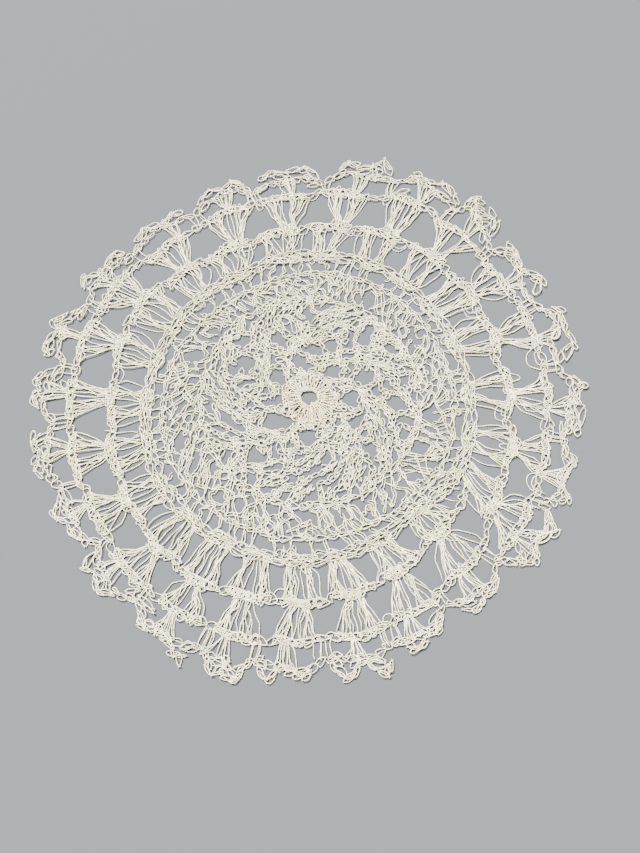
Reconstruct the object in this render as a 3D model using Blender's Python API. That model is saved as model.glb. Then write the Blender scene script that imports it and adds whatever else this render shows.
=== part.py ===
"""Round crocheted lace doily, lying flat.

The whole doily is worked in one thread, so it is one body: a flat sheet of
stitches with a scalloped picot edge, its larger gaps cut through, and its
knots and dense centre ring standing higher than the open work.

Angles are in degrees, counter-clockwise from +X. Radii in the tables are
shares of RADIUS. Metres elsewhere, +Z up, resting on z = 0.
"""
import math

import bmesh
import bpy
from mathutils import Vector
from mathutils.geometry import delaunay_2d_cdt

# Driving dimensions
RADIUS = 0.095  # centre to a usual picot tip: a doily 190 mm across
SHEET = 0.0012  # thickness of a plain run of stitches
KNOT_RISE = 0.0007  # how far a knot stands above the plain stitches
RING_RISE = 0.0008  # how far the dense centre ring stands above them
RIB_DIP = 0.0003  # groove between two stitches of the centre ring
TOUCHING = 1e-9  # corners nearer to each other than this are one corner

# Shares of RADIUS
EYE_RADIUS = 0.034  # open eye in the middle
EYE_POINTS = 12
RIBS = 16  # pairs of stitches that show as ribs on the centre ring
RIB_INNER = 0.062  # where a rib of the centre ring starts and ends
RIB_OUTER = 0.092
CHAIN_HALF = 0.012  # half the width of a ring of chain stitches
FOOT_RISE = 0.016  # from the line of an inner shell's foot to the gap beside it
OUTER_FOOT_RISE = 0.008  # from a link's chain to the gap beside an outer foot
SPLIT_TOP = 0.023  # from a shell's top to the wedge between its bunches
KNOT_HALF = 0.014  # half the length of a knot, outward
KNOT_SET = 0.004  # how far a knot's middle lies inside its shell's foot
KNOT_SIDES = 6
KNOT_CREST = 0.4  # of a knot's half width, from its middle to each of its two crests

# Shares of a gap
CORNER = 0.24  # of a side, taken by each rounded corner
SLOT_END = 0.55  # width of a slot's end against its middle
SPLIT_DEPTH = 0.55  # depth of a wedge against its shell's length
SPLIT_SET = 0.4  # how far a wedge's foot moves toward its left side

# Degrees
STRAND = 0.7  # from a shell's outer thread to the gap beside it
OUTER_FOOT_HALF = 3.2  # from an outer shell's foot to the gap beside it
SPLIT_EDGE = 0.25  # from a wedge's side to the bunch beside it
INNER_KNOT_HALF = 2.6
OUTER_KNOT_HALF = 2.0

# Two rings that the thread makes further in, in places wider or narrower.
RING_COLUMNS = ("angle", "mesh_ring", "shell_ring")
RINGS = (
    (0, 0.510, 0.585),
    (40, 0.505, 0.580),
    (60, 0.503, 0.592),
    (90, 0.490, 0.585),
    (105, 0.476, 0.570),
    (120, 0.470, 0.562),
    (140, 0.485, 0.580),
    (160, 0.507, 0.585),
    (180, 0.520, 0.598),
    (205, 0.530, 0.615),
    (230, 0.520, 0.610),
    (260, 0.507, 0.598),
    (290, 0.500, 0.578),
    (312, 0.505, 0.562),
    (328, 0.522, 0.596),
    (350, 0.515, 0.595),
)

# Inner round of shells: two bunches of long stitches from one wide foot.
# Right is the clockwise side of a bunch, left the other.
INNER_COLUMNS = (
    "foot_right",
    "foot_left",
    "foot_radius",
    "top_right",
    "split_right",
    "split_left",
    "top_left",
    "top_radius",
)
INNER_SHELLS = (
    (-1.0, 6.5, 0.585, -4.0, -0.5, 4.5, 8.3, 0.728),
    (17.0, 26.0, 0.580, 14.5, 18.5, 22.5, 26.3, 0.722),
    (33.5, 42.0, 0.582, 31.0, 36.0, 38.5, 42.3, 0.732),
    (47.0, 57.0, 0.600, 46.3, 51.0, 53.5, 57.5, 0.735),
    (63.0, 72.5, 0.600, 62.8, 67.0, 69.5, 73.0, 0.725),
    (80.0, 89.0, 0.595, 78.0, 82.5, 85.0, 88.7, 0.708),
    (94.5, 106.0, 0.588, 93.3, 99.0, 102.0, 106.2, 0.688),
    (113.5, 124.0, 0.575, 110.5, 116.0, 119.0, 124.3, 0.680),
    (130.0, 138.0, 0.585, 127.5, 133.0, 135.0, 139.0, 0.702),
    (143.5, 153.5, 0.590, 143.0, 148.0, 150.5, 155.0, 0.735),
    (161.5, 169.5, 0.590, 158.5, 164.0, 166.0, 169.5, 0.728),
    (177.0, 186.0, 0.600, 176.0, 180.0, 183.0, 188.0, 0.718),
    (192.0, 201.0, 0.622, 191.5, 196.0, 198.0, 202.5, 0.732),
    (207.5, 217.0, 0.620, 206.0, 211.0, 213.0, 217.5, 0.742),
    (222.0, 231.0, 0.618, 221.0, 226.0, 228.5, 232.5, 0.752),
    (235.8, 243.0, 0.610, 235.5, 239.0, 240.5, 244.5, 0.762),
    (248.5, 256.5, 0.605, 247.8, 252.0, 255.0, 258.7, 0.742),
    (263.0, 270.5, 0.605, 263.3, 267.0, 269.0, 273.0, 0.735),
    (277.0, 282.0, 0.592, 276.3, 280.5, 283.0, 287.5, 0.715),
    (291.5, 299.0, 0.580, 291.5, 296.5, 299.0, 303.0, 0.693),
    (307.5, 316.0, 0.568, 307.0, 311.5, 314.0, 319.0, 0.662),
    (330.0, 337.0, 0.625, 324.7, 328.7, 331.0, 335.0, 0.752),
    (341.0, 349.5, 0.602, 339.5, 344.0, 346.3, 351.0, 0.745),
)

# Outer round of shells, on narrow feet between the bunches below.
OUTER_COLUMNS = (
    "foot",
    "foot_radius",
    "top_right",
    "split_right",
    "split_left",
    "top_left",
    "top_radius",
)
OUTER_SHELLS = (
    (0.5, 0.735, -5.5, -1.0, 1.2, 5.3, 0.866),
    (19.0, 0.740, 13.5, 17.0, 19.5, 23.7, 0.868),
    (34.5, 0.745, 29.0, 33.5, 35.0, 38.7, 0.866),
    (50.0, 0.755, 44.0, 48.5, 51.0, 55.7, 0.886),
    (65.0, 0.745, 60.8, 64.0, 65.0, 68.5, 0.902),
    (80.3, 0.722, 75.7, 79.7, 81.5, 84.8, 0.860),
    (97.0, 0.700, 91.0, 96.0, 98.0, 102.7, 0.836),
    (114.0, 0.685, 107.0, 112.0, 114.0, 118.5, 0.830),
    (132.0, 0.708, 125.5, 130.0, 133.0, 137.5, 0.826),
    (148.0, 0.745, 143.5, 148.0, 149.5, 154.7, 0.860),
    (163.3, 0.738, 159.3, 163.0, 165.0, 169.7, 0.870),
    (179.5, 0.730, 175.5, 179.0, 180.5, 184.7, 0.870),
    (195.0, 0.745, 189.0, 194.0, 195.5, 199.7, 0.870),
    (210.3, 0.755, 204.5, 209.0, 210.5, 214.7, 0.864),
    (226.0, 0.765, 219.5, 225.0, 226.5, 230.7, 0.880),
    (239.8, 0.770, 235.0, 239.0, 240.5, 244.7, 0.884),
    (252.7, 0.745, 249.0, 252.0, 253.7, 258.3, 0.880),
    (267.5, 0.738, 262.5, 266.0, 268.0, 271.7, 0.862),
    (282.0, 0.725, 276.3, 281.0, 282.7, 286.7, 0.860),
    (295.7, 0.705, 290.3, 294.5, 296.0, 301.0, 0.844),
    (312.5, 0.680, 305.3, 310.5, 312.7, 318.0, 0.816),
    (328.5, 0.760, 320.5, 327.0, 329.0, 333.7, 0.870),
    (345.5, 0.758, 340.3, 344.0, 345.5, 350.3, 0.866),
)

# Radius of the chain links between a shell and the next, in both rounds.
LINK_COLUMNS = ("inner", "outer")
LINKS = (
    (0.706, 0.868),
    (0.716, 0.872),
    (0.730, 0.866),
    (0.736, 0.902),
    (0.720, 0.868),
    (0.700, 0.848),
    (0.672, 0.834),
    (0.686, 0.816),
    (0.724, 0.850),
    (0.746, 0.866),
    (0.720, 0.868),
    (0.716, 0.866),
    (0.736, 0.868),
    (0.745, 0.864),
    (0.764, 0.880),
    (0.758, 0.872),
    (0.735, 0.880),
    (0.738, 0.852),
    (0.714, 0.850),
    (0.690, 0.822),
    (0.655, 0.840),
    (0.752, 0.866),
    (0.712, 0.868),
)

# Where every round ends it steps outward to the next, between these shells.
SEAM = 20
SEAM_GAPS = (
    ((319.0, 0.606), (328.2, 0.612), (328.0, 0.634), (321.6, 0.640)),
    ((316.4, 0.676), (324.2, 0.668), (324.0, 0.742), (318.2, 0.784)),
    ((320.2, 0.812), (324.2, 0.792), (322.6, 0.840)),
)

# Picot edging: one scallop for each shell, with two tips.
# A scallop starts in the valley on its clockwise side.
SCALLOP_COLUMNS = (
    "valley",
    "valley_radius",
    "first_tip",
    "first_radius",
    "dip_radius",
    "second_tip",
    "second_radius",
)
SCALLOPS = (
    (350.5, 0.924, 354.2, 0.988, 0.972, 363.0, 1.005),
    (368.3, 0.918, 373.4, 1.004, 0.986, 379.8, 1.012),
    (24.0, 0.926, 28.4, 1.006, 0.966, 37.8, 0.994),
    (41.3, 0.912, 46.6, 1.036, 1.022, 51.6, 1.056),
    (54.0, 0.960, 58.8, 1.038, 1.020, 64.8, 1.032),
    (69.7, 0.962, 73.5, 1.042, 0.992, 80.6, 1.008),
    (86.0, 0.902, 91.4, 0.970, 0.952, 99.6, 0.965),
    (104.5, 0.872, 108.0, 0.956, 0.940, 114.8, 0.954),
    (120.7, 0.872, 125.6, 0.934, 0.918, 133.0, 0.953),
    (138.6, 0.898, 142.4, 0.958, 0.946, 150.6, 0.990),
    (156.0, 0.915, 162.2, 1.006, 0.984, 167.6, 1.010),
    (172.3, 0.920, 175.6, 1.006, 0.986, 179.6, 1.018),
    (185.5, 0.924, 189.8, 1.012, 0.990, 195.0, 1.024),
    (200.8, 0.936, 206.2, 1.000, 0.964, 211.4, 0.970),
    (216.3, 0.905, 218.6, 0.998, 0.974, 223.4, 1.004),
    (231.0, 0.940, 235.8, 0.999, 0.964, 244.0, 1.026),
    (247.8, 0.960, 251.4, 1.028, 1.012, 255.4, 1.028),
    (258.6, 0.944, 261.8, 1.004, 0.958, 268.6, 0.985),
    (273.3, 0.920, 277.6, 0.999, 0.956, 284.9, 1.014),
    (288.0, 0.914, 292.2, 0.968, 0.940, 297.2, 0.949),
    (301.7, 0.876, 306.8, 0.956, 0.940, 312.6, 0.950),
    (317.0, 0.882, 323.6, 0.988, 0.952, 330.4, 0.994),
    (334.9, 0.908, 337.8, 0.991, 0.958, 345.4, 0.984),
)
# Points from one valley to the next: how far along the way to the tip or
# between the tips, and how much of the rise is done there.
FLANK = ((0.30, 0.38), (0.48, 0.84))
TIP_HALF = 1.25  # degrees to each side where a tip is still wide
TIP_DROP = 0.012

# The two open arches of each scallop, from where to where.
ARCH_COLUMNS = ("right_from", "right_to", "right_low", "right_high",
                "left_from", "left_to", "left_low", "left_high")
ARCHES = (
    (352.2, 355.6, 0.886, 0.922, 360.4, 365.2, 0.886, 0.942),
    (9.0, 13.4, 0.884, 0.906, 17.0, 21.6, 0.888, 0.946),
    (25.8, 29.2, 0.884, 0.902, 33.4, 38.9, 0.886, 0.942),
    (43.4, 46.2, 0.902, 0.942, 50.0, 53.0, 0.918, 0.980),
    (56.6, 60.4, 0.922, 0.966, 63.8, 67.4, 0.926, 0.984),
    (71.8, 75.8, 0.884, 0.936, 79.8, 83.6, 0.880, 0.938),
    (90.8, 94.8, 0.862, 0.900, 97.0, 102.4, 0.853, 0.890),
    (107.6, 110.9, 0.852, 0.904, 114.2, 118.0, 0.850, 0.888),
    (121.8, 126.4, 0.836, 0.872, 129.2, 135.0, 0.845, 0.896),
    (142.6, 146.6, 0.874, 0.902, 149.8, 153.4, 0.878, 0.916),
    (160.0, 163.0, 0.890, 0.952, 165.4, 169.6, 0.886, 0.936),
    (174.2, 177.0, 0.886, 0.934, 180.2, 183.6, 0.888, 0.952),
    (186.8, 189.6, 0.886, 0.930, 194.0, 198.8, 0.888, 0.950),
    (202.0, 205.2, 0.882, 0.924, 208.8, 214.4, 0.880, 0.918),
    (217.8, 221.4, 0.886, 0.926, 224.2, 229.2, 0.896, 0.946),
    (233.2, 237.2, 0.904, 0.954, 241.4, 245.2, 0.900, 0.956),
    (247.6, 250.0, 0.898, 0.946, 253.8, 257.4, 0.896, 0.966),
    (260.4, 263.6, 0.892, 0.936, 267.2, 271.8, 0.882, 0.942),
    (275.2, 278.6, 0.874, 0.910, 281.6, 285.6, 0.876, 0.922),
    (288.6, 291.4, 0.864, 0.902, 295.2, 299.6, 0.860, 0.900),
    (303.6, 307.4, 0.836, 0.886, 311.4, 315.4, 0.836, 0.892),
    (320.0, 323.8, 0.888, 0.934, 328.4, 333.4, 0.888, 0.936),
    (336.6, 339.8, 0.884, 0.936, 343.0, 348.0, 0.884, 0.928),
)

# Pinwheel of eight arms: gaps between the arms, from the middle outward.
# A gap's outer side lies further clockwise than its inner side by the lean.
PINWHEEL_COLUMNS = ("inner_radius", "outer_radius", "lean", "gaps")
PINWHEEL = (
    (0.118, 0.166, 7.0, ((-9, 12), (39, 62), (87, 113), (136, 160),
                         (176, 194), (208, 232), (250, 283), (318, 330))),
    (0.177, 0.205, 5.0, ((329, 351), (32, 42), (76, 93), (127, 137),
                         (176, 182), (241, 262), (297, 304))),
    (0.218, 0.251, 4.0, ((15, 28), (62, 73), (114, 123), (162, 173),
                         (205, 212), (234, 247), (281, 291))),
    (0.262, 0.302, 4.0, ((52, 61), (100, 109), (144, 160), (224, 234),
                         (268, 277), (315, 321), (198, 203), (5, 12))),
    (0.312, 0.356, 3.5, ((-7, 1), (46, 54), (89, 96), (134, 143),
                         (179, 186), (216, 224), (256, 262), (302, 309))),
    (0.338, 0.384, 3.0, ((335, 349), (31, 39), (10, 16), (154, 163),
                         (231, 239), (242, 249))),
    (0.368, 0.394, 2.0, ((122, 130), (198, 203), (76, 81), (286, 292))),
)

# Gaps between the leaning bunches around the pinwheel.
MESH_COLUMNS = ("angle", "radius", "half_angle", "half_height", "lean")
MESH_GAPS = (
    (8.0, 0.460, 2.0, 0.020, 1.0),
    (16.0, 0.458, 2.6, 0.020, 1.5),
    (28.5, 0.442, 3.4, 0.032, 4.0),
    (37.5, 0.438, 1.9, 0.020, 3.0),
    (44.6, 0.436, 1.7, 0.022, 3.0),
    (51.8, 0.452, 1.7, 0.022, 3.0),
    (61.0, 0.443, 4.6, 0.026, 2.0),
    (75.0, 0.430, 2.2, 0.024, 2.0),
    (93.5, 0.450, 2.6, 0.016, 3.0),
    (107.0, 0.438, 2.8, 0.018, 2.0),
    (115.0, 0.428, 2.0, 0.016, 2.0),
    (128.0, 0.424, 2.0, 0.014, 2.0),
    (144.0, 0.430, 2.6, 0.026, 3.5),
    (159.0, 0.448, 3.0, 0.026, 3.0),
    (172.5, 0.448, 2.4, 0.032, 3.5),
    (184.5, 0.466, 2.4, 0.024, 3.5),
    (200.0, 0.486, 3.4, 0.024, 3.0),
    (211.0, 0.468, 2.2, 0.026, 3.0),
    (219.0, 0.442, 2.2, 0.020, 2.0),
    (238.0, 0.460, 3.2, 0.032, 3.0),
    (253.0, 0.440, 2.6, 0.028, 2.5),
    (268.0, 0.430, 3.8, 0.026, 2.5),
    (285.0, 0.442, 2.8, 0.036, 2.5),
    (298.0, 0.426, 3.6, 0.032, -1.5),
    (309.0, 0.446, 1.9, 0.018, -2.0),
    (322.5, 0.470, 2.6, 0.022, 3.0),
    (333.5, 0.434, 3.2, 0.036, 3.5),
    (350.0, 0.450, 3.6, 0.030, 1.5),
)

# Even mesh outside them, cut at twice its pitch.
NET_GAPS = 46
NET_HALF = 2.1
NET_LEAN = 0.8
NET_START = 0.3  # of a pitch, where the first gap lies
NET_MARGIN = 1.9  # of a chain's half width, from the shell ring to the gap


def named(columns, rows):
    """Rows of a table as dictionaries."""
    return [dict(zip(columns, row)) for row in rows]


def place(angle, radius):
    """Point of the flat doily at an angle and a share of RADIUS."""
    turn = math.radians(angle)
    reach = radius * RADIUS
    return Vector((reach * math.cos(turn), reach * math.sin(turn)))


def ring_radius(angle, ring):
    """Radius of one of the RINGS at any angle."""
    rows = named(RING_COLUMNS, RINGS)
    rows.append(dict(rows[0], angle=rows[0]["angle"] + 360))
    angle %= 360
    for low, high in zip(rows, rows[1:]):
        if angle <= high["angle"]:
            share = (angle - low["angle"]) / (high["angle"] - low["angle"])
            return low[ring] + (high[ring] - low[ring]) * share
    return rows[0][ring]


def rounded(corners):
    """Outline of a gap: each corner becomes two points on its two sides."""
    spots = [place(angle, radius) for angle, radius in corners]
    outline = []
    for index, spot in enumerate(spots):
        before = spots[index - 1]
        after = spots[(index + 1) % len(spots)]
        outline.append(spot.lerp(before, CORNER))
        outline.append(spot.lerp(after, CORNER))
    return outline


def box_gap(start, end, low, high, lean=0.0):
    """Four-sided gap whose outer side is turned clockwise by the lean."""
    return rounded(
        (
            (start, low),
            (end, low),
            (end - lean, high),
            (start - lean, high),
        )
    )


def slot_gap(angle, radius, half_angle, half_height, lean):
    """Six-sided gap, widest in the middle, whose outer end leans on."""
    ends = SLOT_END * half_angle
    corners = (
        (angle - half_angle, radius),
        (angle - ends + lean, radius + half_height),
        (angle + ends + lean, radius + half_height),
        (angle + half_angle, radius),
        (angle + ends - lean, radius - half_height),
        (angle - ends - lean, radius - half_height),
    )
    return [place(*corner) for corner in corners]


def pinwheel_gaps():
    gaps = []
    for row in named(PINWHEEL_COLUMNS, PINWHEEL):
        for start, end in row["gaps"]:
            half_lean = row["lean"] / 2
            gaps.append(
                box_gap(
                    start + half_lean,
                    end + half_lean,
                    row["inner_radius"],
                    row["outer_radius"],
                    row["lean"],
                )
            )
    return gaps


def mesh_gaps():
    return [slot_gap(**row) for row in named(MESH_COLUMNS, MESH_GAPS)]


def net_gaps():
    gaps = []
    for index in range(NET_GAPS):
        angle = 360 * (index + NET_START) / NET_GAPS
        low = ring_radius(angle, "mesh_ring") + CHAIN_HALF
        high = ring_radius(angle, "shell_ring") - NET_MARGIN * CHAIN_HALF
        middle = (low + high) / 2
        gaps.append(slot_gap(angle, middle, NET_HALF, (high - low) / 2, NET_LEAN))
    return gaps


def gaps_between_inner_shells():
    shells = named(INNER_COLUMNS, INNER_SHELLS)
    links = named(LINK_COLUMNS, LINKS)
    gaps = []
    for index, shell in enumerate(shells):
        if index == SEAM:
            continue
        after = dict(shells[(index + 1) % len(shells)])
        turn = 360 if index == len(shells) - 1 else 0
        top = links[index]["inner"] - CHAIN_HALF
        gaps.append(
            rounded(
                (
                    (shell["foot_left"] + STRAND, shell["foot_radius"] + FOOT_RISE),
                    (shell["top_left"] + STRAND, top),
                    (after["top_right"] + turn - STRAND, top),
                    (after["foot_right"] + turn - STRAND, after["foot_radius"] + FOOT_RISE),
                )
            )
        )
    return gaps


def gaps_between_outer_shells():
    shells = named(OUTER_COLUMNS, OUTER_SHELLS)
    links = named(LINK_COLUMNS, LINKS)
    gaps = []
    for index, shell in enumerate(shells):
        if index == SEAM:
            continue
        after = dict(shells[(index + 1) % len(shells)])
        turn = 360 if index == len(shells) - 1 else 0
        low = links[index]["inner"] + CHAIN_HALF + OUTER_FOOT_RISE
        top = links[index]["outer"] - CHAIN_HALF
        gaps.append(
            rounded(
                (
                    (shell["foot"] + OUTER_FOOT_HALF, low),
                    (shell["top_left"] + STRAND, top),
                    (after["top_right"] + turn - STRAND, top),
                    (after["foot"] + turn - OUTER_FOOT_HALF, low),
                )
            )
        )
    return gaps


def wedge(shell, foot):
    """Gap between the two bunches of a shell, closed at its foot."""
    top = shell["top_radius"] - SPLIT_TOP
    depth = SPLIT_DEPTH * (top - shell["foot_radius"])
    return rounded(
        (
            (shell["split_right"] - SPLIT_EDGE, top),
            (foot, top - depth),
            (shell["split_left"] + SPLIT_EDGE, top),
        )
    )


def split_gaps():
    gaps = []
    for shell in named(INNER_COLUMNS, INNER_SHELLS):
        middle = (shell["foot_right"] + shell["foot_left"]) / 2
        gaps.append(wedge(shell, middle + (shell["split_left"] - middle) * SPLIT_SET))
    for shell in named(OUTER_COLUMNS, OUTER_SHELLS):
        gaps.append(wedge(shell, shell["foot"]))
    return gaps


def arch_gaps():
    gaps = []
    for row in named(ARCH_COLUMNS, ARCHES):
        for side in ("right", "left"):
            gaps.append(
                box_gap(
                    row[side + "_from"],
                    row[side + "_to"],
                    row[side + "_low"],
                    row[side + "_high"],
                )
            )
    return gaps


def seam_gaps():
    return [rounded(corners) for corners in SEAM_GAPS]


def eye():
    return [place(360 * i / EYE_POINTS, EYE_RADIUS) for i in range(EYE_POINTS)]


def flank(from_angle, from_radius, to_angle, to_radius):
    """Points on the way from a valley up to a tip."""
    points = []
    for along, risen in FLANK:
        angle = from_angle + (to_angle - from_angle) * along
        points.append(place(angle, from_radius + (to_radius - from_radius) * risen))
    return points


def edge_outline():
    """Scalloped outer edge with two picot tips to a scallop."""
    rows = named(SCALLOP_COLUMNS, SCALLOPS)
    outline = []
    for index, row in enumerate(rows):
        after = rows[(index + 1) % len(rows)]
        next_valley = after["valley"]
        while next_valley < row["second_tip"]:
            next_valley += 360
        while next_valley > row["second_tip"] + 180:
            next_valley -= 360
        first = row["first_tip"]
        second = row["second_tip"]
        dip = (first + second) / 2
        outline.append(place(row["valley"], row["valley_radius"]))
        outline += flank(row["valley"], row["valley_radius"], first, row["first_radius"])
        outline.append(place(first - TIP_HALF / 2, row["first_radius"]))
        outline.append(place(first + TIP_HALF, row["first_radius"] - TIP_DROP / 2))
        outline.append(place(dip, row["dip_radius"]))
        outline.append(place(second - TIP_HALF, row["second_radius"] - TIP_DROP / 2))
        outline.append(place(second + TIP_HALF / 2, row["second_radius"]))
        outline += reversed(
            flank(next_valley, after["valley_radius"], second, row["second_radius"])
        )
    return outline


def knot_points(angle, foot_radius, half_angle):
    """Low dome over a knot: a ring at the sheet's height round a raised spot."""
    points = []
    radius = foot_radius - KNOT_SET
    for index in range(KNOT_SIDES):
        turn = 2 * math.pi * index / KNOT_SIDES
        spot = place(
            angle + half_angle * math.cos(turn),
            radius + KNOT_HALF * math.sin(turn),
        )
        points.append((spot, SHEET))
    for share in (-KNOT_CREST, KNOT_CREST):
        points.append((place(angle + share * half_angle, radius), SHEET + KNOT_RISE))
    return points


def raised_points():
    """Spots inside the sheet's top where it isn't flat."""
    points = []
    for shell in named(INNER_COLUMNS, INNER_SHELLS):
        middle = (shell["foot_right"] + shell["foot_left"]) / 2
        points += knot_points(middle, shell["foot_radius"], INNER_KNOT_HALF)
    for shell in named(OUTER_COLUMNS, OUTER_SHELLS):
        points += knot_points(shell["foot"], shell["foot_radius"], OUTER_KNOT_HALF)
    for index in range(2 * RIBS):
        angle = 180 * index / RIBS
        rise = RING_RISE - RIB_DIP * (index % 2)
        points.append((place(angle, RIB_INNER), SHEET + rise))
        points.append((place(angle, RIB_OUTER), SHEET + rise - RIB_DIP))
    return points


def flat_faces(outline, gaps, spots):
    """Triangles of the sheet inside its outline and outside its gaps."""
    points = list(outline)
    loops = [list(range(len(outline)))]
    for gap in gaps:
        start = len(points)
        points += gap
        loops.append(list(range(start, len(points))))
    points += spots
    inside_without_holes = 2
    result = delaunay_2d_cdt(points, [], loops, inside_without_holes, TOUCHING)
    found, faces, sources = result[0], result[2], result[3]
    if len(found) != len(points):
        raise ValueError("two outlines of the doily cross or touch")
    order = [source[0] for source in sources]
    triangles = [[order[corner] for corner in face] for face in faces]
    return triangles, points, loops


def build_doily():
    outline = edge_outline()
    gaps = [eye()]
    gaps += pinwheel_gaps()
    gaps += mesh_gaps()
    gaps += net_gaps()
    gaps += gaps_between_inner_shells()
    gaps += gaps_between_outer_shells()
    gaps += split_gaps()
    gaps += seam_gaps()
    gaps += arch_gaps()
    raised = raised_points()
    spots = [spot for spot, height in raised]

    shape = bmesh.new()
    top_faces, points, loops = flat_faces(outline, gaps, spots)
    heights = [SHEET] * (len(points) - len(spots))
    heights += [height for spot, height in raised]
    top = [shape.verts.new((p.x, p.y, z)) for p, z in zip(points, heights)]
    for face in top_faces:
        shape.faces.new([top[corner] for corner in face])

    bottom_faces, points, loops = flat_faces(outline, gaps, [])
    bottom = [shape.verts.new((p.x, p.y, 0.0)) for p in points]
    for face in bottom_faces:
        shape.faces.new([bottom[corner] for corner in reversed(face)])

    for loop in loops:
        for here, there in zip(loop, loop[1:] + loop[:1]):
            shape.faces.new((top[here], top[there], bottom[there], bottom[here]))

    loose = [vert for vert in shape.verts if not vert.link_faces]
    bmesh.ops.delete(shape, geom=loose, context="VERTS")
    bmesh.ops.recalc_face_normals(shape, faces=shape.faces)
    mesh = bpy.data.meshes.new("doily")
    shape.to_mesh(mesh)
    shape.free()
    doily = bpy.data.objects.new("doily", mesh)
    bpy.context.collection.objects.link(doily)
    return doily


def cotton():
    """Unbleached mercerised cotton thread."""
    material = bpy.data.materials.new("cotton_thread")
    material.use_nodes = True
    surface = material.node_tree.nodes["Principled BSDF"]
    surface.inputs["Base Color"].default_value = (0.82, 0.78, 0.68, 1.0)
    surface.inputs["Roughness"].default_value = 0.75
    surface.inputs["Metallic"].default_value = 0.0
    return material


for old in list(bpy.data.objects):
    bpy.data.objects.remove(old, do_unlink=True)

build_doily().data.materials.append(cotton())
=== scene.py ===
"""Round crocheted lace doily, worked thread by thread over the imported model.

Angles are in degrees, counter-clockwise from +X, and radii are shares of
RADIUS, as in the CAD. Lengths inside a stitch are in metres.
"""

import math
import random

import bpy
import numpy as np
from mathutils.kdtree import KDTree
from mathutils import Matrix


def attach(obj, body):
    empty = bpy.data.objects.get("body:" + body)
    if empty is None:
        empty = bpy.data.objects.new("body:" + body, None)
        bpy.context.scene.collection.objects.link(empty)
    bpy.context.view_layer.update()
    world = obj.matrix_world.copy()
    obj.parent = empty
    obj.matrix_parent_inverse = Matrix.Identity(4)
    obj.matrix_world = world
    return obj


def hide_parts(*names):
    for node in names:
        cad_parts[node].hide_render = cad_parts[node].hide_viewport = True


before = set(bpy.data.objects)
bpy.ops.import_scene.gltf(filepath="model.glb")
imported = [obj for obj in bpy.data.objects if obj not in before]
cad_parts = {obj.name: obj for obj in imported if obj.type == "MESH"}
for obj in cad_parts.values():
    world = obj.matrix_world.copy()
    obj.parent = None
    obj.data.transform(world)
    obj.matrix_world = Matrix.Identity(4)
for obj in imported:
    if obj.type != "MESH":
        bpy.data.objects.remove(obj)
bpy.context.view_layer.update()

MM = 0.001
RADIUS = 0.095  # centre to a usual picot tip
THREAD = 0.00017  # radius of the thread
SIDES = 5  # sides of the thread's section
LOW = THREAD  # height of a thread that lies on the table
LOWEST = 1.06 * LOW  # height below which no thread's middle goes
OVER = 1.9 * THREAD  # rise of a thread that passes over another
CURVE_STEP = 0.00016  # between the points of a thread's curve
TURN_MAX = math.radians(18)  # most that one short piece of thread turns
STEP_MIN = 0.00022  # between the points that a thread keeps
STEP_MAX = 0.0026

rand = random.Random(11)

# Waves of uneven pull across the cloth: direction and frequency, phase, push.
PULLS = [
    (
        rand.uniform(-900, 900),
        rand.uniform(-900, 900),
        rand.uniform(0, 6.3),
        rand.uniform(-0.16, 0.16) * MM,
        rand.uniform(-0.16, 0.16) * MM,
    )
    for wave in range(10)
]

# Edge of the open eye, by angle and radius; it has a notch at its near side.
EYE = (
    (0, 0.034), (45, 0.032), (90, 0.028), (120, 0.031), (165, 0.036), (200, 0.034), (235, 0.024),
    (258, 0.029), (275, 0.027), (292, 0.018), (320, 0.029),
)

# Two rings that the thread makes further in, in places wider or narrower:
# angle, and radius of the ring between the mesh rounds and of the shells' ring.
MESH_RING, SHELL_RING = 1, 2
RINGS = (
    (0, 0.510, 0.585), (40, 0.505, 0.580), (60, 0.503, 0.592), (90, 0.490, 0.585), (105, 0.476, 0.570),
    (120, 0.470, 0.562), (140, 0.485, 0.580), (160, 0.507, 0.585), (180, 0.520, 0.598), (205, 0.530, 0.615),
    (230, 0.520, 0.610), (260, 0.507, 0.598), (290, 0.500, 0.578), (312, 0.505, 0.562), (328, 0.522, 0.596),
    (350, 0.515, 0.595),
)

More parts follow.
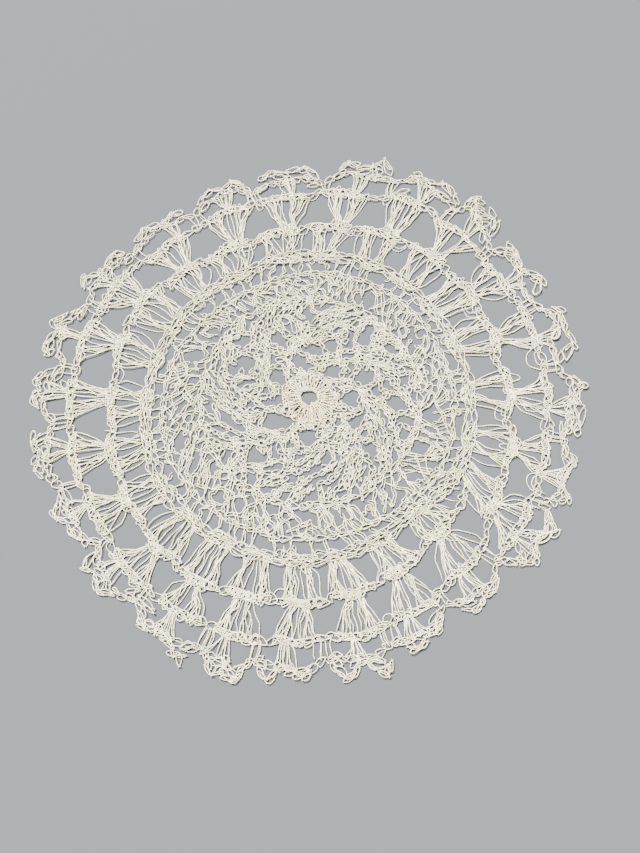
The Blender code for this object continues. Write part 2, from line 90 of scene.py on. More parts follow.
# Inner round of shells: two bunches of long stitches from one wide foot.
# Right is the clockwise side of a bunch, left the other.
INNER_COLUMNS = (
    "foot_right", "foot_left", "foot_radius",
    "top_right", "split_right", "split_left", "top_left", "top_radius",
)
INNER_SHELLS = (
    (-1.0, 6.5, 0.585, -4.0, -0.5, 4.5, 8.3, 0.728),
    (17.0, 26.0, 0.580, 14.5, 18.5, 22.5, 26.3, 0.722),
    (33.5, 42.0, 0.582, 31.0, 36.0, 38.5, 42.3, 0.732),
    (47.0, 57.0, 0.600, 46.3, 51.0, 53.5, 57.5, 0.735),
    (63.0, 72.5, 0.600, 62.8, 67.0, 69.5, 73.0, 0.725),
    (80.0, 89.0, 0.595, 78.0, 82.5, 85.0, 88.7, 0.708),
    (94.5, 106.0, 0.588, 93.3, 99.0, 102.0, 106.2, 0.688),
    (113.5, 124.0, 0.575, 110.5, 116.0, 119.0, 124.3, 0.680),
    (130.0, 138.0, 0.585, 127.5, 133.0, 135.0, 139.0, 0.702),
    (143.5, 153.5, 0.590, 143.0, 148.0, 150.5, 155.0, 0.735),
    (161.5, 169.5, 0.590, 158.5, 164.0, 166.0, 169.5, 0.728),
    (177.0, 186.0, 0.600, 176.0, 180.0, 183.0, 188.0, 0.718),
    (192.0, 201.0, 0.622, 191.5, 196.0, 198.0, 202.5, 0.732),
    (207.5, 217.0, 0.620, 206.0, 211.0, 213.0, 217.5, 0.742),
    (222.0, 231.0, 0.618, 221.0, 226.0, 228.5, 232.5, 0.752),
    (235.8, 243.0, 0.610, 235.5, 239.0, 240.5, 244.5, 0.762),
    (248.5, 256.5, 0.605, 247.8, 252.0, 255.0, 258.7, 0.742),
    (263.0, 270.5, 0.605, 263.3, 267.0, 269.0, 273.0, 0.735),
    (277.0, 282.0, 0.592, 276.3, 280.5, 283.0, 287.5, 0.715),
    (291.5, 299.0, 0.580, 291.5, 296.5, 299.0, 303.0, 0.693),
    (307.5, 316.0, 0.568, 307.0, 311.5, 314.0, 319.0, 0.662),
    (330.0, 337.0, 0.625, 324.7, 328.7, 331.0, 335.0, 0.752),
    (341.0, 349.5, 0.602, 339.5, 344.0, 346.3, 351.0, 0.745),
)

# Outer round of shells, on narrow feet between the bunches below.
OUTER_COLUMNS = (
    "foot", "foot_radius",
    "top_right", "split_right", "split_left", "top_left", "top_radius",
)
OUTER_SHELLS = (
    (0.5, 0.735, -5.5, -1.0, 1.2, 5.3, 0.866),
    (19.0, 0.740, 13.5, 17.0, 19.5, 23.7, 0.868),
    (34.5, 0.745, 29.0, 33.5, 35.0, 38.7, 0.866),
    (50.0, 0.755, 44.0, 48.5, 51.0, 55.7, 0.886),
    (65.0, 0.745, 60.8, 64.0, 65.0, 68.5, 0.902),
    (80.3, 0.722, 75.7, 79.7, 81.5, 84.8, 0.860),
    (97.0, 0.700, 91.0, 96.0, 98.0, 102.7, 0.836),
    (114.0, 0.685, 107.0, 112.0, 114.0, 118.5, 0.830),
    (132.0, 0.708, 125.5, 130.0, 133.0, 137.5, 0.826),
    (148.0, 0.745, 143.5, 148.0, 149.5, 154.7, 0.860),
    (163.3, 0.738, 159.3, 163.0, 165.0, 169.7, 0.870),
    (179.5, 0.730, 175.5, 179.0, 180.5, 184.7, 0.870),
    (195.0, 0.745, 189.0, 194.0, 195.5, 199.7, 0.870),
    (210.3, 0.755, 204.5, 209.0, 210.5, 214.7, 0.864),
    (226.0, 0.765, 219.5, 225.0, 226.5, 230.7, 0.880),
    (239.8, 0.770, 235.0, 239.0, 240.5, 244.7, 0.884),
    (252.7, 0.745, 249.0, 252.0, 253.7, 258.3, 0.880),
    (267.5, 0.738, 262.5, 266.0, 268.0, 271.7, 0.862),
    (282.0, 0.725, 276.3, 281.0, 282.7, 286.7, 0.860),
    (295.7, 0.705, 290.3, 294.5, 296.0, 301.0, 0.844),
    (312.5, 0.680, 305.3, 310.5, 312.7, 318.0, 0.816),
    (328.5, 0.760, 320.5, 327.0, 329.0, 333.7, 0.870),
    (345.5, 0.758, 340.3, 344.0, 345.5, 350.3, 0.866),
)

# Radius of the chain links between a shell and the next, in both rounds.
INNER_LINK, OUTER_LINK = 0, 1
LINKS = (
    (0.706, 0.868), (0.716, 0.872), (0.730, 0.866), (0.736, 0.902), (0.720, 0.868), (0.700, 0.848),
    (0.672, 0.834), (0.686, 0.816), (0.724, 0.850), (0.746, 0.866), (0.720, 0.868), (0.716, 0.866),
    (0.736, 0.868), (0.745, 0.864), (0.764, 0.880), (0.758, 0.872), (0.735, 0.880), (0.738, 0.852),
    (0.714, 0.850), (0.690, 0.822), (0.655, 0.840), (0.752, 0.866), (0.712, 0.868),
)
SEAM = 20  # every round steps outward between this shell and the next
BETWEEN_SHELLS = 0.79  # radius that parts the two rounds of shells
SHELLS_FROM = 0.59  # radius outside which a lone thread belongs to the shells

# Picot edging: one scallop for each shell, with two tips, from the valley on its
# clockwise side. Valley, first tip, second tip: each by angle and radius, with the
# radius of the dip before the second, then the angle where its long stitches stand.
SCALLOPS = (
    (-9.5, 0.924, -5.8, 0.988, 0.972, 3.0, 1.005, -2.5),
    (8.3, 0.918, 13.4, 1.004, 0.986, 19.8, 1.012, 15.5),
    (24.0, 0.926, 28.4, 1.006, 0.966, 37.8, 0.994, 31.0),
    (41.3, 0.912, 46.6, 1.036, 1.022, 51.6, 1.056, 48.0),
    (54.0, 0.960, 58.8, 1.038, 1.020, 64.8, 1.032, 62.0),
    (69.7, 0.962, 73.5, 1.042, 0.992, 80.6, 1.008, 78.0),
    (86.0, 0.902, 91.4, 0.970, 0.952, 99.6, 0.965, 94.5),
    (104.5, 0.872, 108.0, 0.956, 0.940, 114.8, 0.954, 112.0),
    (120.7, 0.872, 125.6, 0.934, 0.918, 133.0, 0.953, 127.5),
    (138.6, 0.898, 142.4, 0.958, 0.946, 150.6, 0.990, 147.5),
    (156.0, 0.915, 162.2, 1.006, 0.984, 167.6, 1.010, 164.0),
    (172.3, 0.920, 175.6, 1.006, 0.986, 179.6, 1.018, 178.5),
    (185.5, 0.924, 189.8, 1.012, 0.990, 195.0, 1.024, 192.5),
    (200.8, 0.936, 206.2, 1.000, 0.964, 211.4, 0.970, 206.5),
    (216.3, 0.905, 218.6, 0.998, 0.974, 223.4, 1.004, 222.5),
    (231.0, 0.940, 235.8, 0.999, 0.964, 244.0, 1.026, 238.5),
    (247.8, 0.960, 251.4, 1.028, 1.012, 255.4, 1.028, 251.5),
    (258.6, 0.944, 261.8, 1.004, 0.958, 268.6, 0.985, 264.5),
    (273.3, 0.920, 277.6, 0.999, 0.956, 284.9, 1.014, 280.0),
    (288.0, 0.914, 292.2, 0.968, 0.940, 297.2, 0.949, 293.0),
    (301.7, 0.876, 306.8, 0.956, 0.940, 312.6, 0.950, 309.5),
    (317.0, 0.882, 323.6, 0.988, 0.952, 330.4, 0.994, 325.5),
    (334.9, 0.908, 337.8, 0.991, 0.958, 345.4, 0.984, 340.5),
)

# The two open arches of each scallop, the right one first: angles from and to,
# inner and outer radius.
ARCHES = (
    (-7.8, -4.4, 0.886, 0.922, 0.4, 5.2, 0.886, 0.942),
    (9.0, 13.4, 0.884, 0.906, 17.0, 21.6, 0.888, 0.946),
    (25.8, 29.2, 0.884, 0.902, 33.4, 38.9, 0.886, 0.942),
    (43.4, 46.2, 0.902, 0.942, 50.0, 53.0, 0.918, 0.980),
    (56.6, 60.4, 0.922, 0.966, 63.8, 67.4, 0.926, 0.984),
    (71.8, 75.8, 0.884, 0.936, 79.8, 83.6, 0.880, 0.938),
    (90.8, 94.8, 0.862, 0.900, 97.0, 102.4, 0.853, 0.890),
    (107.6, 110.9, 0.852, 0.904, 114.2, 118.0, 0.850, 0.888),
    (121.8, 126.4, 0.836, 0.872, 129.2, 135.0, 0.845, 0.896),
    (142.6, 146.6, 0.874, 0.902, 149.8, 153.4, 0.878, 0.916),
    (160.0, 163.0, 0.890, 0.952, 165.4, 169.6, 0.886, 0.936),
    (174.2, 177.0, 0.886, 0.934, 180.2, 183.6, 0.888, 0.952),
    (186.8, 189.6, 0.886, 0.930, 194.0, 198.8, 0.888, 0.950),
    (202.0, 205.2, 0.882, 0.924, 208.8, 214.4, 0.880, 0.918),
    (217.8, 221.4, 0.886, 0.926, 224.2, 229.2, 0.896, 0.946),
    (233.2, 237.2, 0.904, 0.954, 241.4, 245.2, 0.900, 0.956),
    (247.6, 250.0, 0.898, 0.946, 253.8, 257.4, 0.896, 0.966),
    (260.4, 263.6, 0.892, 0.936, 267.2, 271.8, 0.882, 0.942),
    (275.2, 278.6, 0.874, 0.910, 281.6, 285.6, 0.876, 0.922),
    (288.6, 291.4, 0.864, 0.902, 295.2, 299.6, 0.860, 0.900),
    (303.6, 307.4, 0.836, 0.886, 311.4, 315.4, 0.836, 0.892),
    (320.0, 323.8, 0.888, 0.934, 328.4, 333.4, 0.888, 0.936),
    (336.6, 339.8, 0.884, 0.936, 343.0, 348.0, 0.884, 0.928),
)

# Windows of the pinwheel: angle and radius of the middle, then half length, half width
# and tilt, in degrees of a map with the angle across it and the logarithm of the radius up it.
WINDOWS = (
    (-1, 0.139, 14, 11.5, 90), (340, 0.141, 5.5, 2.3, -8), (44, 0.139, 10, 7.5, 90),
    (55.5, 0.125, 6.5, 6.5, 0), (58.5, 0.112, 4, 2.5, 45), (35, 0.187, 8.5, 4, -53),
    (26.7, 0.192, 3.3, 1.8, -65), (21, 0.240, 6.5, 4, 0), (18.5, 0.211, 6, 5.3, 90),
    (20, 0.185, 4.5, 1.8, 90), (6, 0.254, 4, 2.2, -70), (10.4, 0.281, 4, 1.5, -60),
    (11.7, 0.2455, 2.8, 1.5, -65), (16.3, 0.173, 2.8, 1.5, 75), (20, 0.1435, 3.2, 1.6, 80),
    (35, 0.150, 5, 2, -58), (59.7, 0.176, 3, 1.4, 60), (87, 0.201, 7.5, 3.2, -5), (80, 0.186, 6.5, 6.3, -45),
    (72.8, 0.210, 3.5, 1.8, -65), (65.3, 0.2215, 6, 4.8, -70), (72.5, 0.243, 4, 1.3, -25),
    (58.3, 0.246, 2.4, 2.3, 0), (56.5, 0.276, 8.5, 2.1, -47), (52.7, 0.257, 3.2, 2.3, -60),
    (51.5, 0.2915, 2, 1.7, 0), (49.6, 0.338, 5.5, 3.3, -70), (45.5, 0.304, 3.3, 1.6, -55),
    (33.6, 0.354, 4.8, 2.5, 15), (12, 0.354, 4.2, 2, -28), (2.5, 0.388, 2.5, 2.2, 0),
    (356.8, 0.312, 5.9, 4, 90), (76.5, 0.396, 3.2, 1.3, -80), (91.3, 0.328, 6.5, 3.3, 90),
    (85.2, 0.360, 2.6, 1.4, -60), (81, 0.1495, 3, 2.3, 0), (90, 0.159, 4.2, 1.7, -60),
    (23, 0.107, 6, 1.4, 13), (104.5, 0.138, 12, 10.5, 90), (88.5, 0.1245, 8, 5, 8),
    (143.5, 0.131, 15.5, 10.3, 68), (129.5, 0.207, 5, 4, 60), (128.2, 0.181, 5.5, 2.2, -75),
    (115.7, 0.241, 9, 4, -80), (120, 0.264, 4, 2.3, -40), (123.6, 0.2025, 2.6, 2.2, 90),
    (125.2, 0.235, 2, 1.8, 0), (149.7, 0.271, 8, 6.8, -60), (159.5, 0.2965, 4.5, 3, -70),
    (165.4, 0.230, 8, 3.5, -70), (171, 0.250, 2.5, 1.5, 30), (172.6, 0.219, 4.8, 1.8, -70),
    (177.5, 0.187, 5.5, 1.7, -65), (174.2, 0.1505, 2.9, 2.6, 0), (138.3, 0.334, 5.3, 2.3, -42),
    (134.7, 0.322, 3.3, 1.5, 40), (124.9, 0.381, 4, 1.8, -25), (104, 0.279, 6, 4.8, 90),
    (106, 0.3195, 2.2, 1.8, 0), (156.9, 0.356, 4.5, 1.2, 25), (161.5, 0.352, 2.2, 1.5, 0),
    (165.7, 0.330, 2.3, 1.6, 30), (135.3, 0.2545, 3.8, 1, 45), (97.8, 0.205, 2.6, 1.5, 25),
    (181, 0.227, 4.5, 1.2, 10), (182.5, 0.352, 5, 1.5, 58), (124.5, 0.113, 4.5, 1.5, 50),
    (165.7, 0.1185, 4, 1.5, -75), (184.5, 0.140, 14.5, 4.5, 88), (177.5, 0.1115, 7, 4, 0),
    (190, 0.112, 3, 2.5, 45), (214, 0.146, 14, 12, 90), (229, 0.114, 5, 1.8, 35), (207, 0.219, 4.6, 3.6, 15),
    (202.8, 0.1715, 2.3, 2.2, 0), (210.3, 0.1935, 3.3, 1.2, -30), (201.2, 0.279, 3.8, 2.3, 80),
    (193, 0.305, 3.8, 1.5, -70), (186.5, 0.218, 3.2, 1.7, -75), (185.2, 0.366, 2.2, 1.8, 20),
    (228.6, 0.287, 6.3, 5.5, 0), (216.5, 0.358, 6, 2, -62), (235.5, 0.365, 4, 3.4, 0),
    (245.3, 0.371, 3, 2.6, 0), (239.4, 0.2315, 8.5, 2.5, -32), (229.9, 0.240, 3, 1.8, 80),
    (239.4, 0.207, 2.8, 1.8, -35), (248.5, 0.1945, 9, 2.7, -22), (242.6, 0.183, 4, 2.3, -60),
    (261, 0.207, 2.6, 1.6, 0), (253.4, 0.1725, 2.8, 1.7, 0), (262, 0.1835, 2, 1.7, 0),
    (275.5, 0.147, 10.5, 9, 90), (263, 0.1505, 9, 6.5, -12), (252, 0.144, 7.5, 3.3, -22),
    (264.2, 0.1255, 4.8, 1.8, 28), (245.3, 0.154, 3.3, 1.8, -45), (238.4, 0.166, 3.5, 1.2, -85),
    (232.9, 0.167, 3.8, 1.5, 85), (232.2, 0.129, 5, 1.3, 42), (220.8, 0.107, 3, 1.5, 10),
    (193, 0.1295, 3, 1.4, 65), (258.7, 0.304, 3, 2.3, -45), (271.5, 0.272, 4.5, 2, -5),
    (266.5, 0.2835, 3.3, 1.5, 15), (272, 0.350, 3, 1.2, -10), (272, 0.370, 4.8, 1, -12),
    (256.4, 0.3725, 3, 1.1, -60), (332, 0.187, 7, 6, -60), (342.4, 0.191, 7, 2.6, -10),
    (328.4, 0.166, 3.5, 2.3, 90), (349, 0.168, 5.5, 2, -38), (339.2, 0.124, 3.8, 2, 15),
    (331.3, 0.218, 3.8, 2.2, -5), (326.1, 0.2375, 7, 2, -2), (336.9, 0.240, 2.1, 1.8, 0),
    (318, 0.2585, 2.5, 2.2, -20), (317.3, 0.300, 6.3, 2.5, -75), (314, 0.323, 3.2, 1.3, -80),
    (346.4, 0.352, 5.5, 3.8, -70), (337.9, 0.360, 4.3, 2.6, 10), (306, 0.342, 4.5, 1.8, 0),
    (287.5, 0.2235, 6.5, 4, 70), (281.7, 0.2405, 4.3, 1.8, 38), (294.8, 0.2295, 4, 1.2, -80),
    (297.4, 0.203, 3.2, 1.7, -50), (302, 0.1775, 2.8, 2.7, 0), (305.2, 0.1555, 3.8, 1.5, -5),
    (294.5, 0.129, 5.2, 1.9, -62), (286, 0.1325, 5.5, 1.5, -80), (306.2, 0.1105, 3.8, 1.8, 75),
    (322.2, 0.131, 6.5, 1.8, 28), (313, 0.1335, 3.5, 1, 45), (285.3, 0.2945, 2.4, 1.6, 30),
    (280.4, 0.2915, 2, 1.7, 0), (279.8, 0.335, 6, 1.2, 8), (288.6, 0.3705, 3.2, 1.3, 0),
    (322.5, 0.378, 3, 1.6, 20),
)
BIG_WINDOW = 9.0  # half length times half width
RUNG_REACH = 0.026  # how far chain across the arms runs on beside a big window
WINDOW_KEEP = 0.0100  # from a window's edge to the middle of the chain beside it
MESH_KEEP = 0.0062  # the same for a drawn loop

# Windows of the leaning round about the pinwheel.
LEANING_WINDOWS = (
    (65.2, 0.437, 3.4, 2.2, -68), (60.0, 0.446, 4.0, 2.8, -62), (50.3, 0.460, 3.3, 0.6, -52),
    (47.3, 0.480, 1.5, 1.0, 80), (46.6, 0.458, 1.2, 0.8, 30), (43.9, 0.428, 2.6, 1.1, -60),
    (41.5, 0.437, 2.0, 0.7, -55), (37.4, 0.433, 2.0, 1.3, -35), (38.3, 0.472, 1.5, 0.7, 50),
    (36.2, 0.468, 1.5, 0.6, 52), (31.8, 0.478, 2.0, 0.8, 40), (32.6, 0.447, 2.6, 1.8, -10),
    (27.3, 0.420, 5.2, 1.6, -50), (29.2, 0.452, 2.4, 1.2, -70), (24.6, 0.443, 1.4, 0.5, -65),
    (23.2, 0.484, 0.8, 0.6, 0), (20.9, 0.452, 0.8, 0.7, 0), (20.0, 0.437, 1.0, 0.6, 0),
    (15.9, 0.481, 1.8, 0.9, 8), (18.2, 0.463, 1.9, 0.8, 10), (15.3, 0.449, 2.8, 1.3, 25),
    (10.2, 0.447, 2.4, 1.1, 0), (6.0, 0.438, 2.4, 0.9, -15), (7.8, 0.467, 1.7, 1.3, 80),
    (3.0, 0.482, 0.8, 0.6, 0), (3.3, 0.455, 1.8, 0.9, -20), (0.6, 0.444, 1.3, 0.7, -30),
    (14.4, 0.423, 2.0, 0.8, 0), (9.6, 0.417, 0.9, 0.7, 0), (1.8, 0.417, 1.5, 0.8, 0),
    (13.3, 0.403, 2.2, 0.7, -5), (55.2, 0.412, 1.2, 0.7, 0), (33.5, 0.392, 1.3, 0.6, -20),
    (70.0, 0.430, 1.9, 0.9, 85), (73.8, 0.430, 2.5, 0.8, -75), (76.6, 0.403, 2.6, 1.1, 88),
    (78.5, 0.452, 1.6, 1.0, 0), (89.2, 0.470, 1.6, 0.9, -50), (86.2, 0.468, 0.9, 0.7, 0),
    (86.0, 0.452, 1.0, 0.6, -50), (84.2, 0.451, 1.0, 0.6, -50), (88.7, 0.442, 1.5, 0.5, -40),
    (85.0, 0.430, 1.1, 0.5, -60), (93.7, 0.462, 2.9, 0.9, -15), (101.5, 0.447, 1.2, 0.5, -40),
    (108.1, 0.452, 1.5, 1.0, -60), (104.7, 0.447, 2.0, 0.9, -75), (110.3, 0.433, 4.0, 1.1, -25),
    (113.8, 0.423, 1.4, 1.1, -30), (107.7, 0.475, 0.8, 0.6, 60), (104.3, 0.485, 0.9, 0.6, 0),
    (112.0, 0.410, 1.5, 0.6, 25), (92.2, 0.412, 1.6, 0.6, -28), (98.2, 0.401, 1.6, 1.0, 60),
    (110.3, 0.391, 2.2, 0.9, 0), (117.4, 0.463, 0.8, 0.5, 0), (175.6, 0.470, 2.3, 0.8, -40),
    (171.9, 0.435, 2.7, 0.8, -75), (169.7, 0.430, 2.6, 0.7, -85), (177.3, 0.408, 1.7, 1.2, -40),
    (166.5, 0.443, 1.7, 0.7, -50), (163.0, 0.455, 2.0, 1.0, -60), (158.4, 0.449, 4.0, 2.7, -60),
    (152.8, 0.460, 1.7, 0.9, -70), (148.6, 0.451, 3.0, 0.9, -60), (144.6, 0.453, 2.2, 1.2, -45),
    (142.2, 0.421, 3.0, 1.1, -60), (145.6, 0.425, 1.7, 0.6, -50), (139.4, 0.425, 1.0, 0.8, 0),
    (136.9, 0.435, 0.8, 0.6, 0), (132.3, 0.411, 1.1, 0.8, 0), (127.4, 0.425, 1.5, 1.2, 90),
    (125.2, 0.405, 1.7, 0.8, 60), (122.0, 0.412, 1.6, 0.8, -60), (128.3, 0.447, 1.0, 0.5, 85),
    (132.0, 0.436, 0.8, 0.6, 0), (184.4, 0.470, 4.9, 1.1, -38), (185.3, 0.435, 1.8, 1.5, 90),
    (189.8, 0.442, 1.9, 1.1, -10), (190.1, 0.413, 2.3, 1.1, -12), (199.2, 0.490, 5.0, 2.0, -32),
    (198.3, 0.457, 1.6, 0.6, 0), (193.8, 0.437, 1.0, 0.8, 0), (202.4, 0.435, 0.8, 0.6, -40),
    (204.1, 0.420, 2.2, 0.8, -70), (195.3, 0.415, 0.9, 0.6, 90), (198.0, 0.411, 0.8, 0.6, 90),
    (211.5, 0.477, 4.2, 1.8, -55), (216.8, 0.424, 3.5, 1.7, -40), (211.8, 0.412, 1.5, 1.2, 60),
    (229.5, 0.487, 3.4, 1.5, 20), (238.2, 0.463, 3.6, 2.2, -60), (232.3, 0.423, 1.3, 0.8, 0),
    (226.8, 0.423, 1.6, 0.5, 90), (224.4, 0.452, 0.9, 0.7, 0), (222.9, 0.473, 1.0, 0.6, -50),
    (229.2, 0.441, 0.8, 0.6, 0), (247.4, 0.447, 3.6, 1.0, -55), (252.4, 0.431, 4.0, 2.1, -40),
    (254.6, 0.463, 1.4, 1.1, 80), (258.8, 0.441, 1.9, 0.7, -65), (266.8, 0.424, 5.2, 3.1, -42),
    (272.6, 0.447, 3.2, 1.2, -65), (267.6, 0.478, 1.4, 0.9, 60), (282.2, 0.443, 4.8, 1.7, -62),
    (286.3, 0.438, 3.4, 1.1, -60), (278.6, 0.447, 2.2, 0.5, -65), (294.6, 0.430, 4.8, 1.8, -75),
    (298.6, 0.415, 3.5, 1.3, 70), (290.6, 0.450, 2.5, 0.5, -70), (291.0, 0.415, 1.3, 0.6, 90),
    (298.4, 0.453, 1.0, 0.8, 0), (354.2, 0.440, 3.6, 1.2, -70), (350.6, 0.447, 4.4, 1.8, -75),
    (345.0, 0.448, 3.4, 1.0, 85), (341.0, 0.445, 2.2, 1.2, -75), (340.6, 0.470, 1.4, 0.9, 80),
    (334.3, 0.430, 5.4, 3.3, -60), (328.2, 0.420, 1.8, 0.5, -60), (326.4, 0.441, 1.0, 0.6, -50),
    (321.6, 0.468, 3.0, 1.7, -40), (316.3, 0.452, 2.6, 0.7, -5), (310.5, 0.488, 3.7, 1.2, 10),
    (308.5, 0.435, 1.7, 1.3, -40), (301.3, 0.406, 3.4, 1.9, 55), (356.3, 0.450, 1.2, 1.0, 45),
)

# Windows of the upright round outside it.
UPRIGHT_WINDOWS = (
    (59.3, 0.548, 3.0, 0.6, 88), (56.4, 0.545, 2.4, 1.4, 40), (51.3, 0.540, 1.9, 0.9, 75),
    (47.8, 0.550, 3.2, 1.4, 70), (44.2, 0.540, 2.5, 1.1, 80), (41.0, 0.540, 2.9, 1.6, 50),
    (36.6, 0.522, 1.7, 1.1, 45), (32.3, 0.540, 2.9, 1.7, 45), (28.5, 0.526, 1.6, 1.1, 60),
    (24.4, 0.526, 2.4, 1.1, 20), (25.0, 0.551, 1.0, 0.8, 0), (19.3, 0.522, 1.9, 1.0, 60),
    (14.5, 0.536, 3.1, 2.5, 60), (10.8, 0.517, 1.2, 0.6, 90), (8.3, 0.536, 2.8, 0.9, -70),
    (4.3, 0.536, 3.0, 2.0, -60), (1.2, 0.522, 1.3, 0.5, 90), (118.0, 0.494, 2.2, 0.8, 75),
    (114.2, 0.505, 2.6, 1.9, 60), (109.3, 0.510, 1.4, 1.2, 0), (103.7, 0.520, 2.4, 1.3, 20),
    (106.5, 0.505, 1.5, 0.6, -30), (95.3, 0.545, 2.4, 1.3, 55), (91.7, 0.536, 1.9, 0.6, 85),
    (86.6, 0.527, 4.0, 1.9, -20), (89.0, 0.560, 1.5, 1.1, 90), (81.3, 0.520, 2.0, 0.7, 65),
    (78.2, 0.536, 3.2, 0.9, 85), (75.0, 0.522, 2.8, 0.9, 80), (71.2, 0.550, 1.2, 0.8, 90),
    (65.0, 0.541, 1.8, 1.3, 60), (62.0, 0.550, 3.0, 1.0, 70), (177.0, 0.545, 2.2, 0.7, 88),
    (174.8, 0.549, 2.8, 1.2, 85), (171.8, 0.545, 2.4, 0.7, 88), (168.8, 0.548, 2.6, 1.4, -80),
    (165.7, 0.535, 1.3, 0.8, 90), (160.6, 0.547, 3.8, 2.2, 15), (155.8, 0.548, 1.7, 0.5, 70),
    (152.0, 0.530, 3.4, 1.9, -55), (147.3, 0.530, 1.9, 1.1, 90), (144.2, 0.533, 2.6, 0.9, 90),
    (141.3, 0.527, 2.2, 0.8, 90), (137.2, 0.527, 3.7, 2.3, -50), (132.5, 0.510, 2.6, 0.7, 88),
    (130.0, 0.518, 3.6, 1.4, 75), (126.2, 0.510, 3.6, 0.9, 82), (122.3, 0.510, 3.4, 2.1, 80),
    (131.5, 0.553, 0.9, 0.7, 0), (189.8, 0.571, 1.9, 1.6, 90), (181.8, 0.555, 2.2, 1.2, -30),
    (190.0, 0.533, 1.3, 1.0, 0), (204.4, 0.573, 1.9, 1.4, 90), (206.6, 0.567, 1.4, 1.0, 90),
    (209.3, 0.570, 1.4, 0.6, 90), (212.5, 0.556, 2.2, 0.9, 10), (201.0, 0.573, 1.9, 0.7, 90),
    (218.5, 0.567, 1.4, 1.1, 90), (238.5, 0.560, 3.0, 1.6, 90), (234.2, 0.567, 3.0, 1.7, 80),
    (229.5, 0.556, 1.4, 1.1, 0), (251.0, 0.550, 3.8, 0.8, -80), (247.6, 0.552, 3.8, 1.0, -72),
    (244.2, 0.552, 3.8, 1.0, -70), (253.6, 0.553, 3.6, 1.0, -75), (259.8, 0.535, 3.0, 0.9, -85),
    (262.0, 0.535, 2.8, 0.8, -88), (266.4, 0.540, 3.8, 1.1, -80), (268.9, 0.535, 3.4, 0.9, -80),
    (272.8, 0.540, 3.5, 1.3, 85), (280.2, 0.543, 4.2, 2.4, -25), (288.5, 0.537, 2.6, 0.8, -35),
    (297.0, 0.530, 3.5, 1.2, -20), (357.3, 0.545, 3.0, 1.5, 70), (351.7, 0.550, 2.2, 1.5, 90),
    (347.0, 0.553, 2.7, 2.5, 0), (342.8, 0.548, 1.7, 0.6, -80), (332.4, 0.552, 3.0, 1.8, -60),
    (326.4, 0.555, 3.6, 0.9, -55), (320.8, 0.568, 3.0, 1.8, -50), (316.5, 0.573, 1.6, 0.8, 90),
    (305.5, 0.532, 2.6, 1.0, -75), (338.6, 0.553, 2.4, 0.6, -60),
)

# Lean of the drawn loops in the two rounds, on the map: angle, and lean in
# the leaning round and in the upright one.
LEANING, UPRIGHT = 1, 2
LEANS = (
    (0, 150, 95), (20, 140, 70), (30, 122, 52), (60, 120, 80), (75, 102, 85), (90, 135, 80), (110, 138, 75),
    (125, 105, 82), (145, 122, 90), (160, 118, 75), (180, 132, 90), (200, 142, 95), (215, 130, 100),
    (240, 122, 108), (255, 125, 105), (270, 130, 95), (285, 118, 125), (296, 105, 130), (306, 55, 110),
    (316, 50, 115), (324, 122, 122), (340, 112, 112), (350, 108, 90), (359.9, 150, 95),
)

# Loops that hang loose from the rings: angle, radius of the top and of the
# bottom, and half width in degrees.
HANGING = (
    (31.5, 0.500, 0.463, 2.0), (8.0, 0.492, 0.443, 1.7), (47.0, 0.492, 0.462, 1.5),
    (254.6, 0.485, 0.437, 1.9), (270.3, 0.492, 0.447, 1.1), (335.6, 0.506, 0.465, 2.7),
    (335.6, 0.506, 0.474, 2.2), (335.4, 0.508, 0.486, 1.7), (297.0, 0.466, 0.446, 1.5),
    (89.0, 0.580, 0.541, 1.3), (85.6, 0.580, 0.546, 1.7), (39.5, 0.575, 0.545, 2.6),
    (24.4, 0.575, 0.535, 2.0), (56.0, 0.585, 0.558, 2.2), (137.0, 0.580, 0.536, 1.2),
    (181.5, 0.590, 0.562, 1.8), (335.0, 0.585, 0.568, 1.6), (279.0, 0.585, 0.562, 1.4),
    (165.5, 0.580, 0.560, 2.0), (18.8, 0.575, 0.556, 2.4),
)

